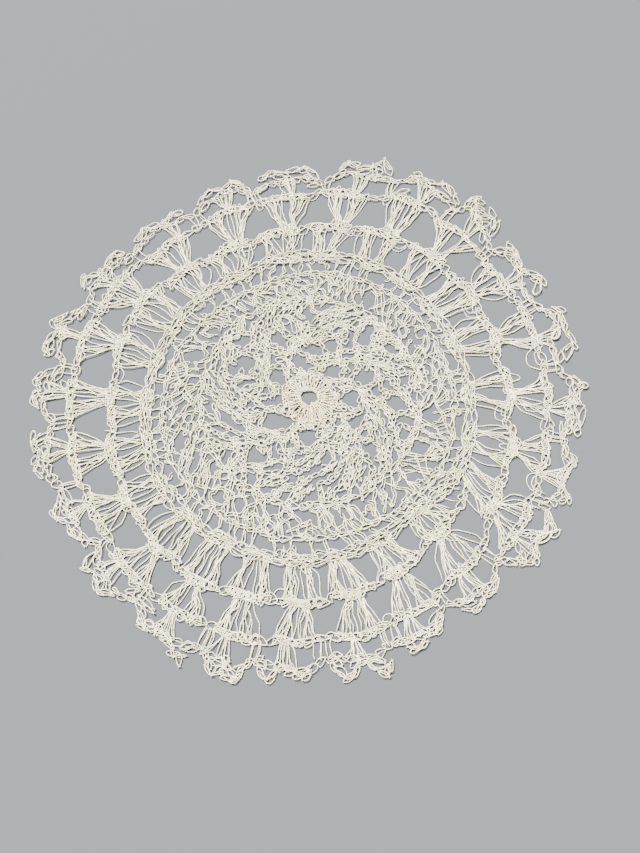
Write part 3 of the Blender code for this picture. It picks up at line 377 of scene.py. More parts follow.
# Lone threads that wander through the rounds, by angle and radius.
STRAYS = (
    ((18.0, 0.428), (14.5, 0.436), (10.5, 0.437), (7.0, 0.429), (4.5, 0.422)),
    ((21.5, 0.438), (18.5, 0.443), (15.5, 0.460), (12.5, 0.466), (9.5, 0.490)),
    ((22.0, 0.500), (18.0, 0.497), (14.5, 0.492), (11.0, 0.490), (7.0, 0.497)),
    ((22.0, 0.478), (19.5, 0.476), (16.5, 0.468), (13.0, 0.470)),
    ((8.5, 0.482), (6.0, 0.470), (3.0, 0.470), (0.0, 0.462)),
    ((6.0, 0.452), (3.0, 0.440), (0.0, 0.428), (-2.0, 0.424)),
    ((16.5, 0.413), (12.0, 0.414), (8.5, 0.424), (6.0, 0.432)),
    ((12.0, 0.562), (9.5, 0.535), (8.0, 0.508)),
    ((9.5, 0.565), (10.5, 0.535), (12.0, 0.508)),
    ((8.3, 0.562), (7.3, 0.535), (6.4, 0.508)),
    ((11.8, 0.565), (11.6, 0.535), (11.2, 0.508)),
    ((15.0, 0.700), (14.6, 0.670), (15.2, 0.635), (16.2, 0.600)),
    ((143.0, 0.700), (142.8, 0.660), (143.2, 0.625), (143.8, 0.596)),
    ((263.2, 0.700), (262.6, 0.665), (262.8, 0.630), (263.4, 0.600)),
    ((291.8, 0.660), (291.2, 0.625), (291.6, 0.585)),
    ((307.2, 0.650), (306.8, 0.615), (307.4, 0.580)),
    ((276.6, 0.690), (276.2, 0.655), (276.8, 0.615)),
    ((330.5, 0.552), (327.5, 0.535), (324.0, 0.520), (321.0, 0.512)),
    ((333.0, 0.580), (329.0, 0.558), (324.5, 0.538), (321.0, 0.528)),
    ((328, 0.625), (325, 0.600), (322, 0.565)),
    ((327.5, 0.630), (326.5, 0.600), (325, 0.562)),
    ((329, 0.620), (330, 0.590), (330.5, 0.560)),
    ((328.5, 0.615), (327, 0.585), (324, 0.558)),
    ((319, 0.645), (318, 0.610), (316, 0.565)),
    ((317.5, 0.645), (317.8, 0.600), (317, 0.562)),
    ((320.5, 0.640), (319, 0.600), (316.5, 0.575)),
    ((316, 0.640), (315.2, 0.600), (313.5, 0.562)),
    ((324, 0.650), (322.5, 0.610), (321.5, 0.570)),
)

# Loops that sag from the rounds of shells: angle, radius at the top and at the bottom,
# and half width in degrees. Where the bottom lies further out, the loop stands up.
SAGS = (
    (10.5, 0.862, 0.812, 2.9), (10.5, 0.870, 0.842, 2.2), (30.6, 0.706, 0.668, 3.0),
    (31.0, 0.716, 0.680, 1.8), (14.6, 0.706, 0.684, 2.2), (27.6, 0.870, 0.845, 1.2), (2.5, 0.735, 0.705, 1.4),
    (6.2, 0.728, 0.772, 1.1), (74.8, 0.712, 0.686, 2.3), (75.2, 0.720, 0.702, 1.8), (70.0, 0.875, 0.846, 0.8),
    (61.8, 0.705, 0.676, 2.4), (61.5, 0.715, 0.690, 1.8), (90.2, 0.846, 0.814, 2.2),
    (92.4, 0.696, 0.668, 1.8), (110.8, 0.672, 0.642, 3.0), (104.0, 0.820, 0.797, 0.9),
    (77.0, 0.865, 0.838, 1.3), (77.2, 0.700, 0.680, 1.2), (155.2, 0.870, 0.828, 0.7),
    (173.0, 0.712, 0.688, 3.0), (176.6, 0.860, 0.815, 1.0), (137.0, 0.828, 0.795, 0.7),
    (125.8, 0.690, 0.662, 1.7), (143.2, 0.722, 0.690, 1.6), (158.5, 0.870, 0.840, 1.0),
    (191.2, 0.734, 0.710, 1.5), (184.4, 0.725, 0.700, 1.4), (205.0, 0.745, 0.722, 2.0),
    (203.6, 0.862, 0.842, 1.6), (228.2, 0.885, 0.905, 1.2), (262.8, 0.712, 0.692, 2.2),
    (292.6, 0.695, 0.660, 2.6), (288.8, 0.845, 0.812, 1.4), (278.6, 0.700, 0.680, 1.0),
    (310.7, 0.895, 0.788, 0.7), (338.6, 0.858, 0.822, 2.2), (338.6, 0.868, 0.842, 1.8),
    (355.5, 0.712, 0.672, 2.2), (356.0, 0.724, 0.695, 1.6), (353.2, 0.860, 0.835, 1.6),
    (345.6, 0.735, 0.702, 0.9),
)

# Long loops of the edge, by angle and radius of their two ends and half width in millimetres.
PETALS = (
    (3.0, 0.980, 3.0, 1.006, 0.85), (5.0, 0.955, 3.2, 0.978, 0.5), (2.2, 0.975, -1.0, 0.968, 0.7),
    (12.6, 0.990, 9.3, 0.952, 0.9), (10.9, 0.950, 8.9, 0.928, 0.45), (12.0, 0.923, 8.8, 0.916, 0.5),
    (15.0, 0.995, 13.0, 1.003, 0.45), (12.9, 0.995, 11.3, 1.000, 0.4), (16.6, 0.962, 14.9, 0.935, 0.8),
    (19.8, 1.000, 17.2, 0.985, 0.5), (20.0, 0.985, 17.8, 0.962, 0.45), (17.8, 0.985, 16.0, 0.985, 0.5),
    (21.2, 0.985, 20.2, 1.010, 0.5), (22.2, 0.935, 20.3, 0.972, 0.5), (25.7, 0.918, 24.7, 0.912, 0.5),
    (24.8, 0.918, 22.6, 0.935, 0.4), (28.4, 0.912, 25.9, 0.908, 0.45), (28.5, 0.985, 26.3, 0.948, 0.9),
    (29.5, 0.965, 28.3, 0.982, 0.4), (29.4, 0.995, 27.1, 1.000, 0.5), (31.4, 0.975, 29.8, 0.995, 0.5),
    (30.0, 0.983, 28.9, 0.993, 0.3), (33.2, 0.945, 31.2, 0.958, 0.45), (36.0, 0.978, 33.2, 0.955, 0.55),
    (37.8, 0.985, 35.6, 0.975, 0.55), (39.7, 0.985, 38.0, 0.975, 0.5), (40.3, 0.920, 38.8, 0.957, 0.6),
    (45.8, 0.950, 43.9, 0.915, 0.45), (44.6, 1.018, 43.7, 0.958, 0.7), (45.8, 1.015, 45.0, 0.985, 0.4),
    (47.5, 0.962, 46.3, 0.985, 0.6), (48.0, 1.042, 46.2, 1.028, 0.5), (48.3, 0.995, 47.0, 1.008, 0.4),
    (49.2, 0.985, 48.2, 0.970, 0.5), (50.4, 1.015, 49.1, 1.025, 0.5), (51.5, 1.022, 50.4, 1.005, 0.4),
    (51.6, 1.035, 50.2, 1.043, 0.45), (52.5, 1.038, 51.6, 1.054, 0.5), (52.7, 1.032, 52.5, 0.990, 0.35),
    (53.5, 0.958, 55.3, 0.925, 0.5), (59.8, 0.985, 56.6, 0.980, 0.8), (55.8, 1.012, 54.5, 0.980, 0.5),
    (59.8, 1.030, 56.2, 1.012, 0.6), (61.6, 0.950, 61.0, 0.925, 0.4), (62.9, 1.012, 61.6, 1.015, 0.4),
    (66.2, 1.018, 65.0, 1.024, 0.4), (64.6, 1.018, 62.9, 1.014, 0.45), (67.8, 0.915, 66.2, 0.935, 0.5),
    (67.2, 0.980, 65.2, 1.000, 0.45), (70.3, 0.955, 69.0, 0.965, 0.35), (73.5, 1.040, 71.4, 0.985, 0.7),
    (74.9, 1.010, 73.8, 0.995, 0.55), (74.8, 0.975, 73.5, 0.980, 0.6), (74.2, 0.950, 71.3, 0.955, 0.5),
    (75.6, 1.008, 74.2, 0.940, 0.35), (78.8, 0.955, 76.2, 0.972, 0.75), (78.8, 0.980, 76.0, 0.998, 0.5),
    (80.8, 0.985, 79.0, 0.995, 0.6), (83.8, 0.920, 82.0, 0.953, 0.5), (82.9, 0.962, 81.6, 0.996, 0.4),
    (90.6, 0.950, 88.1, 0.915, 0.9), (92.7, 0.950, 91.1, 0.945, 0.45), (95.5, 0.950, 93.0, 0.954, 0.6),
    (92.0, 0.918, 90.2, 0.920, 0.4), (96.0, 0.893, 94.6, 0.908, 0.4), (90.2, 0.880, 88.2, 0.885, 0.45),
    (98.1, 0.945, 96.0, 0.930, 0.4), (99.2, 0.930, 96.8, 0.920, 0.5), (100.3, 0.935, 98.6, 0.945, 0.35),
    (102.6, 0.925, 101.0, 0.935, 0.6), (103.3, 0.880, 101.2, 0.895, 0.4), (108.9, 0.952, 107.3, 0.932, 0.5),
    (107.8, 0.932, 106.6, 0.918, 0.4), (106.8, 0.903, 105.6, 0.885, 0.45), (111.8, 0.925, 109.4, 0.935, 0.5),
    (113.8, 0.937, 112.0, 0.932, 0.4), (116.5, 0.925, 114.4, 0.935, 0.4), (118.4, 0.910, 117.0, 0.925, 0.4),
    (118.3, 0.878, 117.0, 0.892, 0.45), (124.4, 0.920, 123.3, 0.908, 0.45), (127.0, 0.918, 125.4, 0.928, 0.4),
    (129.0, 0.915, 127.3, 0.913, 0.4), (132.2, 0.935, 129.6, 0.922, 0.5), (134.2, 0.935, 132.6, 0.935, 0.45),
    (136.3, 0.925, 134.2, 0.930, 0.5), (138.9, 0.885, 137.6, 0.892, 0.3), (137.6, 0.888, 136.1, 0.897, 0.35),
    (142.5, 0.950, 140.6, 0.925, 0.8), (143.6, 0.925, 142.4, 0.940, 0.5), (145.2, 0.938, 142.8, 0.951, 0.35),
    (142.0, 0.885, 140.0, 0.885, 0.35), (147.7, 0.902, 146.0, 0.918, 0.5), (147.4, 0.935, 145.8, 0.925, 0.35),
    (149.8, 0.970, 148.1, 0.948, 0.7), (151.2, 0.950, 150.1, 0.963, 0.45), (151.8, 0.937, 150.6, 0.920, 0.5),
    (152.3, 0.968, 150.2, 0.984, 0.4), (148.6, 0.932, 147.3, 0.945, 0.4), (158.7, 0.905, 157.2, 0.915, 0.4),
    (159.7, 0.910, 158.5, 0.910, 0.4), (159.0, 0.945, 158.2, 0.925, 0.3), (163.6, 0.985, 162.4, 1.006, 0.6),
    (161.9, 1.000, 160.9, 0.975, 0.4), (164.4, 0.937, 163.0, 0.953, 0.55), (165.2, 0.965, 163.9, 0.975, 0.35),
    (167.5, 1.000, 165.3, 0.983, 0.75), (169.2, 0.988, 167.6, 1.000, 0.4), (168.5, 0.982, 167.0, 0.975, 0.45),
    (169.9, 0.985, 168.8, 0.968, 0.4), (171.3, 0.915, 169.3, 0.940, 0.45), (174.9, 0.980, 173.4, 0.945, 0.7),
    (176.4, 0.985, 175.9, 1.004, 0.45), (175.3, 1.000, 174.6, 0.985, 0.35),
    (178.4, 0.955, 176.5, 0.965, 0.45), (175.4, 0.925, 173.0, 0.910, 0.5), (180.0, 0.998, 178.5, 0.995, 0.6),
    (177.6, 0.885, 176.0, 0.900, 0.45), (181.4, 0.985, 180.2, 1.006, 0.7), (186.0, 0.925, 184.0, 0.945, 0.5),
    (189.5, 0.985, 188.1, 0.950, 0.6), (190.2, 0.985, 189.6, 0.960, 0.35), (190.0, 1.003, 187.6, 0.993, 0.6),
    (191.3, 1.000, 189.5, 0.995, 0.5), (191.0, 0.905, 190.2, 0.955, 0.5), (192.5, 0.958, 191.3, 0.968, 0.5),
    (193.8, 0.972, 191.8, 0.982, 0.5), (194.0, 1.008, 192.8, 0.998, 0.55), (195.0, 0.985, 193.9, 0.980, 0.5),
    (196.2, 0.985, 194.9, 1.003, 0.4), (206.5, 0.985, 203.9, 0.962, 0.75), (207.0, 0.990, 205.0, 0.990, 0.35),
    (204.3, 0.965, 202.9, 0.952, 0.35), (206.8, 0.940, 206.0, 0.950, 0.4), (205.0, 0.930, 201.8, 0.940, 0.4),
    (204.8, 0.912, 201.6, 0.926, 0.3), (209.0, 0.930, 207.7, 0.955, 0.5), (208.3, 0.962, 207.0, 0.982, 0.5),
    (211.7, 0.955, 210.3, 0.965, 0.4), (213.0, 0.940, 210.6, 0.950, 0.4), (214.8, 0.943, 213.8, 0.935, 0.35),
    (216.7, 0.902, 215.2, 0.910, 0.35), (215.8, 0.895, 214.6, 0.905, 0.35), (218.8, 0.925, 217.2, 0.905, 0.5),
    (218.5, 0.985, 217.5, 0.935, 0.8), (219.6, 0.978, 218.4, 0.990, 0.35), (224.0, 0.985, 223.0, 0.975, 0.5),
    (223.3, 0.996, 222.0, 0.985, 0.4), (226.2, 0.970, 224.3, 0.990, 0.45), (222.8, 0.970, 221.5, 0.975, 0.35),
    (222.4, 0.953, 220.4, 0.958, 0.35), (230.7, 0.935, 228.8, 0.942, 0.5), (230.0, 0.905, 228.3, 0.928, 0.35),
    (233.0, 0.930, 231.0, 0.932, 0.35), (235.4, 0.925, 233.2, 0.928, 0.3), (235.0, 0.912, 231.3, 0.915, 0.3),
    (234.5, 0.962, 233.2, 0.945, 0.5), (235.4, 0.980, 234.2, 0.972, 0.45), (236.5, 0.990, 234.7, 0.993, 0.35),
    (237.9, 0.970, 236.8, 0.978, 0.4), (240.0, 0.965, 238.5, 0.970, 0.35), (245.5, 1.026, 244.3, 1.000, 0.45),
    (244.4, 1.002, 242.5, 1.016, 0.6), (243.0, 0.990, 240.8, 0.980, 0.6), (246.0, 0.960, 244.4, 0.975, 0.5),
    (247.1, 0.960, 245.2, 0.978, 0.35), (251.8, 1.018, 250.6, 0.985, 0.5), (250.8, 1.000, 249.6, 0.975, 0.4),
    (249.8, 0.980, 248.6, 0.950, 0.45), (252.5, 0.965, 251.2, 0.985, 0.6), (252.9, 0.990, 252.0, 1.003, 0.4),
    (254.4, 1.005, 253.0, 0.997, 0.5), (255.3, 1.005, 254.5, 0.995, 0.35), (255.8, 1.010, 253.8, 1.016, 0.35),
    (256.4, 1.008, 255.4, 1.018, 0.4), (257.0, 0.985, 256.2, 1.000, 0.4), (257.8, 0.950, 256.6, 0.980, 0.35),
    (254.0, 0.960, 253.2, 0.950, 0.4), (260.2, 0.925, 259.2, 0.935, 0.35), (263.2, 0.980, 262.3, 1.000, 0.5),
    (261.7, 0.992, 260.2, 0.965, 0.5), (261.4, 0.955, 260.0, 0.945, 0.45), (263.7, 0.960, 263.0, 0.975, 0.3),
    (266.0, 0.940, 263.8, 0.955, 0.4), (267.0, 0.960, 265.5, 0.968, 0.45), (268.9, 0.970, 267.2, 0.972, 0.5),
    (270.2, 0.970, 269.0, 0.983, 0.45), (275.3, 0.960, 274.8, 0.935, 0.35),
    (277.3, 0.975, 275.5, 0.950, 0.75), (278.9, 0.975, 277.6, 0.985, 0.5), (278.5, 0.985, 277.1, 0.996, 0.35),
    (280.0, 0.965, 278.9, 0.982, 0.35), (276.5, 0.940, 275.3, 0.928, 0.5), (277.0, 0.912, 275.5, 0.908, 0.4),
    (275.4, 0.905, 274.4, 0.918, 0.35), (280.0, 0.935, 278.6, 0.950, 0.55),
    (281.9, 0.940, 280.3, 0.952, 0.45), (285.2, 0.970, 282.5, 0.952, 0.8), (285.3, 0.955, 283.0, 0.940, 0.35),
    (285.8, 0.975, 285.0, 0.998, 0.4), (286.7, 0.965, 285.8, 0.990, 0.4), (285.1, 1.008, 284.1, 0.990, 0.4),
    (289.3, 0.900, 288.1, 0.912, 0.35), (290.7, 0.925, 289.4, 0.915, 0.5), (291.9, 0.945, 290.7, 0.930, 0.4),
    (291.8, 0.922, 290.9, 0.918, 0.4), (293.0, 0.953, 291.2, 0.957, 0.45), (294.5, 0.945, 293.0, 0.952, 0.35),
    (297.5, 0.922, 295.9, 0.930, 0.4), (299.5, 0.900, 298.4, 0.925, 0.4), (298.8, 0.925, 297.6, 0.942, 0.35),
    (299.2, 0.880, 297.6, 0.897, 0.35), (295.6, 0.930, 293.4, 0.920, 0.3), (305.6, 0.900, 304.0, 0.885, 0.6),
    (307.5, 0.920, 305.7, 0.905, 0.6), (308.1, 0.938, 306.4, 0.945, 0.55), (309.5, 0.932, 308.6, 0.937, 0.3),
    (307.5, 0.905, 305.3, 0.888, 0.3), (311.2, 0.898, 309.7, 0.905, 0.4), (311.3, 0.918, 310.1, 0.922, 0.3),
    (312.0, 0.933, 310.9, 0.937, 0.35), (314.8, 0.907, 313.0, 0.928, 0.4), (319.4, 0.930, 318.7, 0.890, 0.35),
    (321.2, 0.952, 320.4, 0.948, 0.3), (321.9, 0.925, 320.8, 0.935, 0.4), (322.6, 0.925, 322.0, 0.940, 0.3),
    (324.7, 0.965, 323.7, 0.972, 0.5), (323.6, 0.960, 322.7, 0.983, 0.45), (323.8, 0.890, 322.4, 0.910, 0.5),
    (329.5, 0.970, 326.6, 0.950, 0.9), (330.7, 0.990, 329.2, 0.980, 0.35), (331.0, 0.955, 330.2, 0.962, 0.4),
    (333.0, 0.940, 331.5, 0.960, 0.35), (333.1, 0.928, 331.4, 0.938, 0.45),
    (327.7, 0.932, 326.3, 0.930, 0.35), (327.3, 0.910, 326.4, 0.895, 0.35), (337.6, 0.968, 336.2, 0.960, 0.5),
    (336.9, 0.930, 335.2, 0.940, 0.5), (338.5, 0.982, 336.8, 0.987, 0.3), (345.2, 0.962, 342.2, 0.945, 0.6),
    (346.3, 0.965, 345.1, 0.976, 0.35), (347.2, 0.958, 346.2, 0.975, 0.35),
    (342.1, 0.925, 340.0, 0.945, 0.35), (348.4, 0.922, 347.0, 0.935, 0.35), (350.8, 0.915, 348.7, 0.920, 0.3),
    (357.9, 0.988, 354.3, 0.980, 0.5), (354.6, 0.978, 353.2, 0.970, 0.4), (353.0, 0.978, 351.8, 0.965, 0.5),
    (355.3, 0.962, 353.6, 0.958, 0.3), (353.5, 0.950, 352.3, 0.940, 0.5), (355.0, 0.950, 353.7, 0.938, 0.4),
    (358.4, 0.925, 356.7, 0.945, 0.5), (359.7, 0.945, 357.5, 0.955, 0.35), (360.4, 0.960, 359.0, 0.975, 0.5),
    (354.0, 0.910, 351.9, 0.912, 0.35),
)

# Shapes of single stitches, each point along the stitch, to its side, and up
# in rises of one thread over another. The side is in half widths.
LINK_STITCH = (
    (0.00, 0.35, -0.6), (0.22, 1.00, 0.0), (0.85, 0.85, 0.6), (1.22, 0.00, 0.7),
    (0.85, -0.85, 0.6), (0.22, -1.00, 0.0), (0.02, -0.35, -0.6), (0.48, -0.66, -1.1),
)
COIL_STITCH = ((0.0, -0.9, 0.0), (0.9, -0.3, 0.4), (0.9, 0.8, 0.8), (0.1, 0.9, 0.4))
LEAF_STITCH = (
    (-0.06, -0.5, 0.8), (0.10, 0.35, 0.0), (0.45, 1.0, 0.2), (0.85, 0.75, 0.6), (1.06, 0.0, 1.2),
    (0.88, -0.75, 1.4), (0.5, -1.0, 1.0), (0.12, -0.45, 0.8), (-0.04, 0.4, 1.6),
)
TEASED_LOOP = (
    (-0.1, -0.3, 1), (0.35, -0.8, 1), (0.75, -1.0, 0), (1.0, -0.1, 0),
    (0.8, 0.95, 0), (0.4, 0.8, 0), (0.0, 0.35, 1), (-0.25, 0.0, 1),
)

# Stitches of a bunch, from its inner side to its outer: share along the feet,
# share along the heads, legs and outward bow in millimetres.
BUNCH = (
    (0.00, 0.02, 1, 0.5),
    (0.30, 0.58, 2, 0.3),
    (0.10, 0.76, 1, 0.7),
    (0.86, 0.30, 1, 0.7),
    (0.64, 0.20, 2, 0.4),
    (0.42, 0.98, 1, 0.6),
    (0.80, 0.48, 1, 0.5),
    (1.00, 1.04, 1, 1.3),
)


def named(columns, rows):
    """Rows of a table as dictionaries."""
    return [dict(zip(columns, row)) for row in rows]


def value_at(angle, rows, column=1):
    """Value in a column of a table of angles, between its rows."""
    angles = [row[0] for row in rows] + [360]
    values = [row[column] for row in rows] + [rows[0][column]]
    return float(np.interp(angle % 360, angles, values))


def near(amount):
    """Small random amount, either way."""
    return rand.uniform(-amount, amount)


def at(angle, radius, height=LOW):
    """Point over the flat doily."""
    turn = math.radians(angle)
    reach = radius * RADIUS
    return np.array((reach * math.cos(turn), reach * math.sin(turn), height))


def heading(start, end):
    """Way over the table from one spot to another, the way to its left, and the distance."""
    way = end - start
    size = math.hypot(way[0], way[1]) or 1e-6
    way = way / size
    way[2] = 0
    return way, np.array((-way[1], way[0], 0.0)), size


def steps_of(curve):
    """Directions and sizes of the steps between the points of a curve."""
    steps = np.diff(curve, axis=0)
    sizes = np.linalg.norm(steps, axis=1)
    return steps / np.maximum(sizes, 1e-9)[:, None], sizes


def smooth(points, step):
    """Curve through the points, as points about a step apart."""
    points = np.asarray(points, float)
    spans = np.linalg.norm(np.diff(points, axis=0), axis=1)
    points = points[np.concatenate(([True], spans > 1e-6))]
    spans = np.linalg.norm(np.diff(points, axis=0), axis=1)
    slopes = np.diff(points, axis=0) / spans[:, None]
    middle = slopes[:-1] * spans[1:, None] + slopes[1:] * spans[:-1, None]
    middle = middle / (spans[:-1] + spans[1:])[:, None]
    tangents = np.concatenate((slopes[:1], middle, slopes[-1:]))
    counts = np.maximum(2, np.ceil(spans / step)).astype(int)
    owner = np.repeat(np.arange(len(spans)), counts)
    first = np.repeat(np.cumsum(counts) - counts, counts)
    t = ((np.arange(counts.sum()) - first) / counts[owner])[:, None]
    span = spans[owner][:, None]
    curve = (
        (2 * t**3 - 3 * t**2 + 1) * points[owner]
        + (t**3 - 2 * t**2 + t) * span * tangents[owner]
        + (3 * t**2 - 2 * t**3) * points[owner + 1]
        + (t**3 - t**2) * span * tangents[owner + 1]
    )
    return np.concatenate((curve, points[-1:]))


def thinned(curve):
    """The curve without the points that a straight run can do without."""
    ways, sizes = (part.tolist() for part in steps_of(curve))
    kept = [0]
    run = 0.0
    from_way = ways[0]
    turn_cos = math.cos(TURN_MAX)
    for index in range(1, len(ways)):
        run += sizes[index - 1]
        way = ways[index]
        cosine = sum(a * b for a, b in zip(way, from_way))
        if run >= STEP_MAX or (cosine < turn_cos and run >= STEP_MIN):
            kept.append(index)
            run = 0.0
            from_way = way
    kept.append(len(curve) - 1)
    return curve[kept]


def evenly(route, step):
    """Points about a step apart along a route."""
    route = smooth(route, step / 3)
    spans = np.linalg.norm(np.diff(route, axis=0), axis=1)
    reach = np.concatenate(([0.0], np.cumsum(spans)))
    count = max(2, round(reach[-1] / step))
    marks = np.linspace(0, reach[-1], count + 1)
    return np.stack([np.interp(marks, reach, route[:, k]) for k in range(3)], axis=1)


def sway(points):
    """The points after the cloth's small uneven pulls, which move neighbours together."""
    moved = points.copy()
    for way_x, way_y, phase, push_x, push_y in PULLS:
        wave = np.sin(points[:, 0] * way_x + points[:, 1] * way_y + phase)
        moved[:, 0] += push_x * wave
        moved[:, 1] += push_y * wave
    return moved


class Piece:
    """Threads that become one mesh."""

    def __init__(self, name):
        self.name = name
        self.threads = []

    def thread(self, points):
        """Lay a thread through the points."""
        if len(points) < 3:
            return
        curve = sway(smooth(points, CURVE_STEP))
        curve[:, 2] = np.maximum(curve[:, 2], LOWEST)
        self.threads.append((thinned(curve), THREAD * rand.uniform(0.94, 1.05)))

    def sections(self):
        """Middle, way, side, radius and mark of each thread's sections, and where threads begin and end."""
        found, marks, threads = [], [], []
        for curve, radius in self.threads:
            threads.append((len(found), len(found) + len(curve) - 1))
            ways, sizes = steps_of(curve)
            mean = ways[:-1] + ways[1:]
            mean /= np.maximum(np.linalg.norm(mean, axis=1), 1e-9)[:, None]
            ways = np.concatenate((ways[:1], mean, ways[-1:])).tolist()
            x, y = ways[0][:2]
            flat = math.hypot(x, y)
            side = (-y / flat, x / flat, 0.0) if flat > 1e-6 else (1.0, 0.0, 0.0)
            mark = rand.random()
            run = 0.0
            for index, (point, way) in enumerate(zip(curve.tolist(), ways)):
                if index:
                    run += sizes[index - 1]
                dot = sum(a * b for a, b in zip(side, way))
                side = [a - dot * b for a, b in zip(side, way)]
                size = math.sqrt(sum(a * a for a in side)) or 1.0
                side = [a / size for a in side]
                found.append((point, way, side, (radius,) * 3))
                marks.append(run + mark)
        return *np.array(found).swapaxes(0, 1), np.array(marks), np.array(threads)

    def build(self, material):
        """One mesh of closed tubes, with the way along each thread in its UV map."""
        centre, way, side, radius, marks, threads = self.sections()
        turns = 2 * math.pi * np.arange(SIDES) / SIDES
        rim = (
            np.cos(turns)[None, :, None] * side[:, None]
            + np.sin(turns)[None, :, None] * np.cross(way, side)[:, None]
        )
        points = (centre[:, None] + radius[:, None] * rim).reshape(-1, 3)

        rings = np.concatenate([np.arange(first, last) for first, last in threads])[:, None] * SIDES
        here = rings + np.arange(SIDES)
        after = rings + (np.arange(SIDES) + 1) % SIDES
        quads = np.stack((here, after, after + SIDES, here + SIDES), axis=2).reshape(-1, 4)
        caps = threads * SIDES
        ends = np.concatenate((caps[:, :1] + np.arange(SIDES)[::-1], caps[:, 1:] + np.arange(SIDES)))
        corners = np.concatenate((quads.ravel(), ends.ravel()))
        starts = np.concatenate((np.arange(len(quads)) * 4, quads.size + np.arange(len(ends)) * SIDES))

        mesh = bpy.data.meshes.new(self.name)
        mesh.vertices.add(len(points))
        mesh.vertices.foreach_set("co", points.ravel())
        mesh.loops.add(len(corners))
        mesh.loops.foreach_set("vertex_index", corners)
        mesh.polygons.add(len(starts))
        mesh.polygons.foreach_set("loop_start", starts)
        mesh.update(calc_edges=True)
        mesh.validate()
        mesh.polygons.foreach_set("use_smooth", np.ones(len(mesh.polygons), bool))

        across = (corners % SIDES) / SIDES
        wrap = np.tile((0.0, 1.0, 1.0, 0.0), len(quads)) / SIDES
        across[: len(wrap)] = (np.repeat(np.arange(len(quads)), 4) % SIDES) / SIDES + wrap
        layer = mesh.uv_layers.new(name="thread")
        layer.data.foreach_set("uv", np.stack((marks[corners // SIDES], across), axis=1).ravel())
        mesh.materials.append(material)
        made = bpy.data.objects.new(self.name, mesh)
        bpy.context.collection.objects.link(made)
        return made


# Stitches


def chain(piece, route, pitch, half, height=LOW + 1.2 * OVER, loose=0.15):
    """Chain stitches along a route."""
    spots = evenly(route, pitch)
    points = []
    for here, there in zip(spots, spots[1:]):
        way, side, size = heading(here, there)
        lift = near(0.25 * OVER)
        swing = near(0.3 * half)
        side = side * rand.choice((-1, 1))
        for along, aside, up in LINK_STITCH:
            spot = here + way * (along * size + near(loose * size * 0.6))
            spot = spot + side * (aside * half * (1 + near(3 * loose)) + swing)
            spot[2] = height + up * OVER + lift
            points.append(spot)
    piece.thread(points)


def coil(piece, route, pitch, half, height, rise=1.0):
    """Thread that runs in small overlapping loops along a route."""
    spots = evenly(route, pitch)
    points = []
    for here, there in zip(spots, spots[1:]):
        way, side, size = heading(here, there)
        width = half * rand.uniform(0.6, 1.25)
        lift = rand.uniform(0, 1) * rise * OVER
        for along, aside, up in COIL_STITCH:
            spot = here + way * (along * size * 1.5 + near(0.2 * size))
            spot = spot + side * (aside * width)
            spot[2] = height + up * OVER + lift
            points.append(spot)
    piece.thread(points)


def strand(start, end, bow, lift):
    """Inner points of a loose length of thread between two spots."""
    side, size = heading(start, end)[1:]
    points = []
    for share in (0.22, 0.5, 0.78):
        swell = 4 * share * (1 - share)
        spot = start + (end - start) * share + side * (bow * swell + near(0.02 * size))
        spot[2] += lift * swell
        points.append(spot)
    return points


def post(piece, foot, head, legs, narrow, wide, bow=0.3 * MM):
    """Tall stitch: a loop drawn up from its foot, which opens toward its head."""
    up, side = heading(foot, head)[:2]
    hook = 0.5 * MM
    sign = rand.choice((-1, 1))
    ends = [head, foot]
    spreads = [wide, narrow]
    heights = [LOW + 1.7 * OVER, LOW + 0.4 * OVER]
    points = []
    for leg in range(legs):
        here, there = leg % 2, (leg + 1) % 2
        outward = up * (-1 if here == 0 else 1)
        cross = -1 if rand.random() < 0.3 else 1
        first = ends[here] + side * sign * spreads[here] * rand.uniform(0.5, 1.1)
        last = ends[there] + side * sign * cross * spreads[there] * rand.uniform(0.5, 1.1)
        first[2] = heights[here] + near(0.4 * OVER)
        last[2] = heights[there] + near(0.4 * OVER)
        points.append(first)
        points += strand(first, last, sign * bow * rand.uniform(-0.4, 1.6), near(0.7 * OVER))
        points.append(last)
        turn = ends[there] + outward * hook * rand.uniform(0.7, 1.4)
        turn[2] = LOW if here == 0 else LOW + 2.3 * OVER
        points.append(turn)
        sign = -sign * cross
    piece.thread(points)


def tease(piece, base, tip, width, height=LOW + 0.6 * OVER):
    """Loop of thread that sticks out."""
    up, side, size = heading(base, tip)
    points = []
    for along, aside, raised in TEASED_LOOP:
        spot = base + up * along * size + side * aside * width * rand.uniform(0.85, 1.15)
        spot[2] = height + raised * OVER * rand.uniform(0.5, 1.2)
        points.append(spot)
    piece.thread(points)


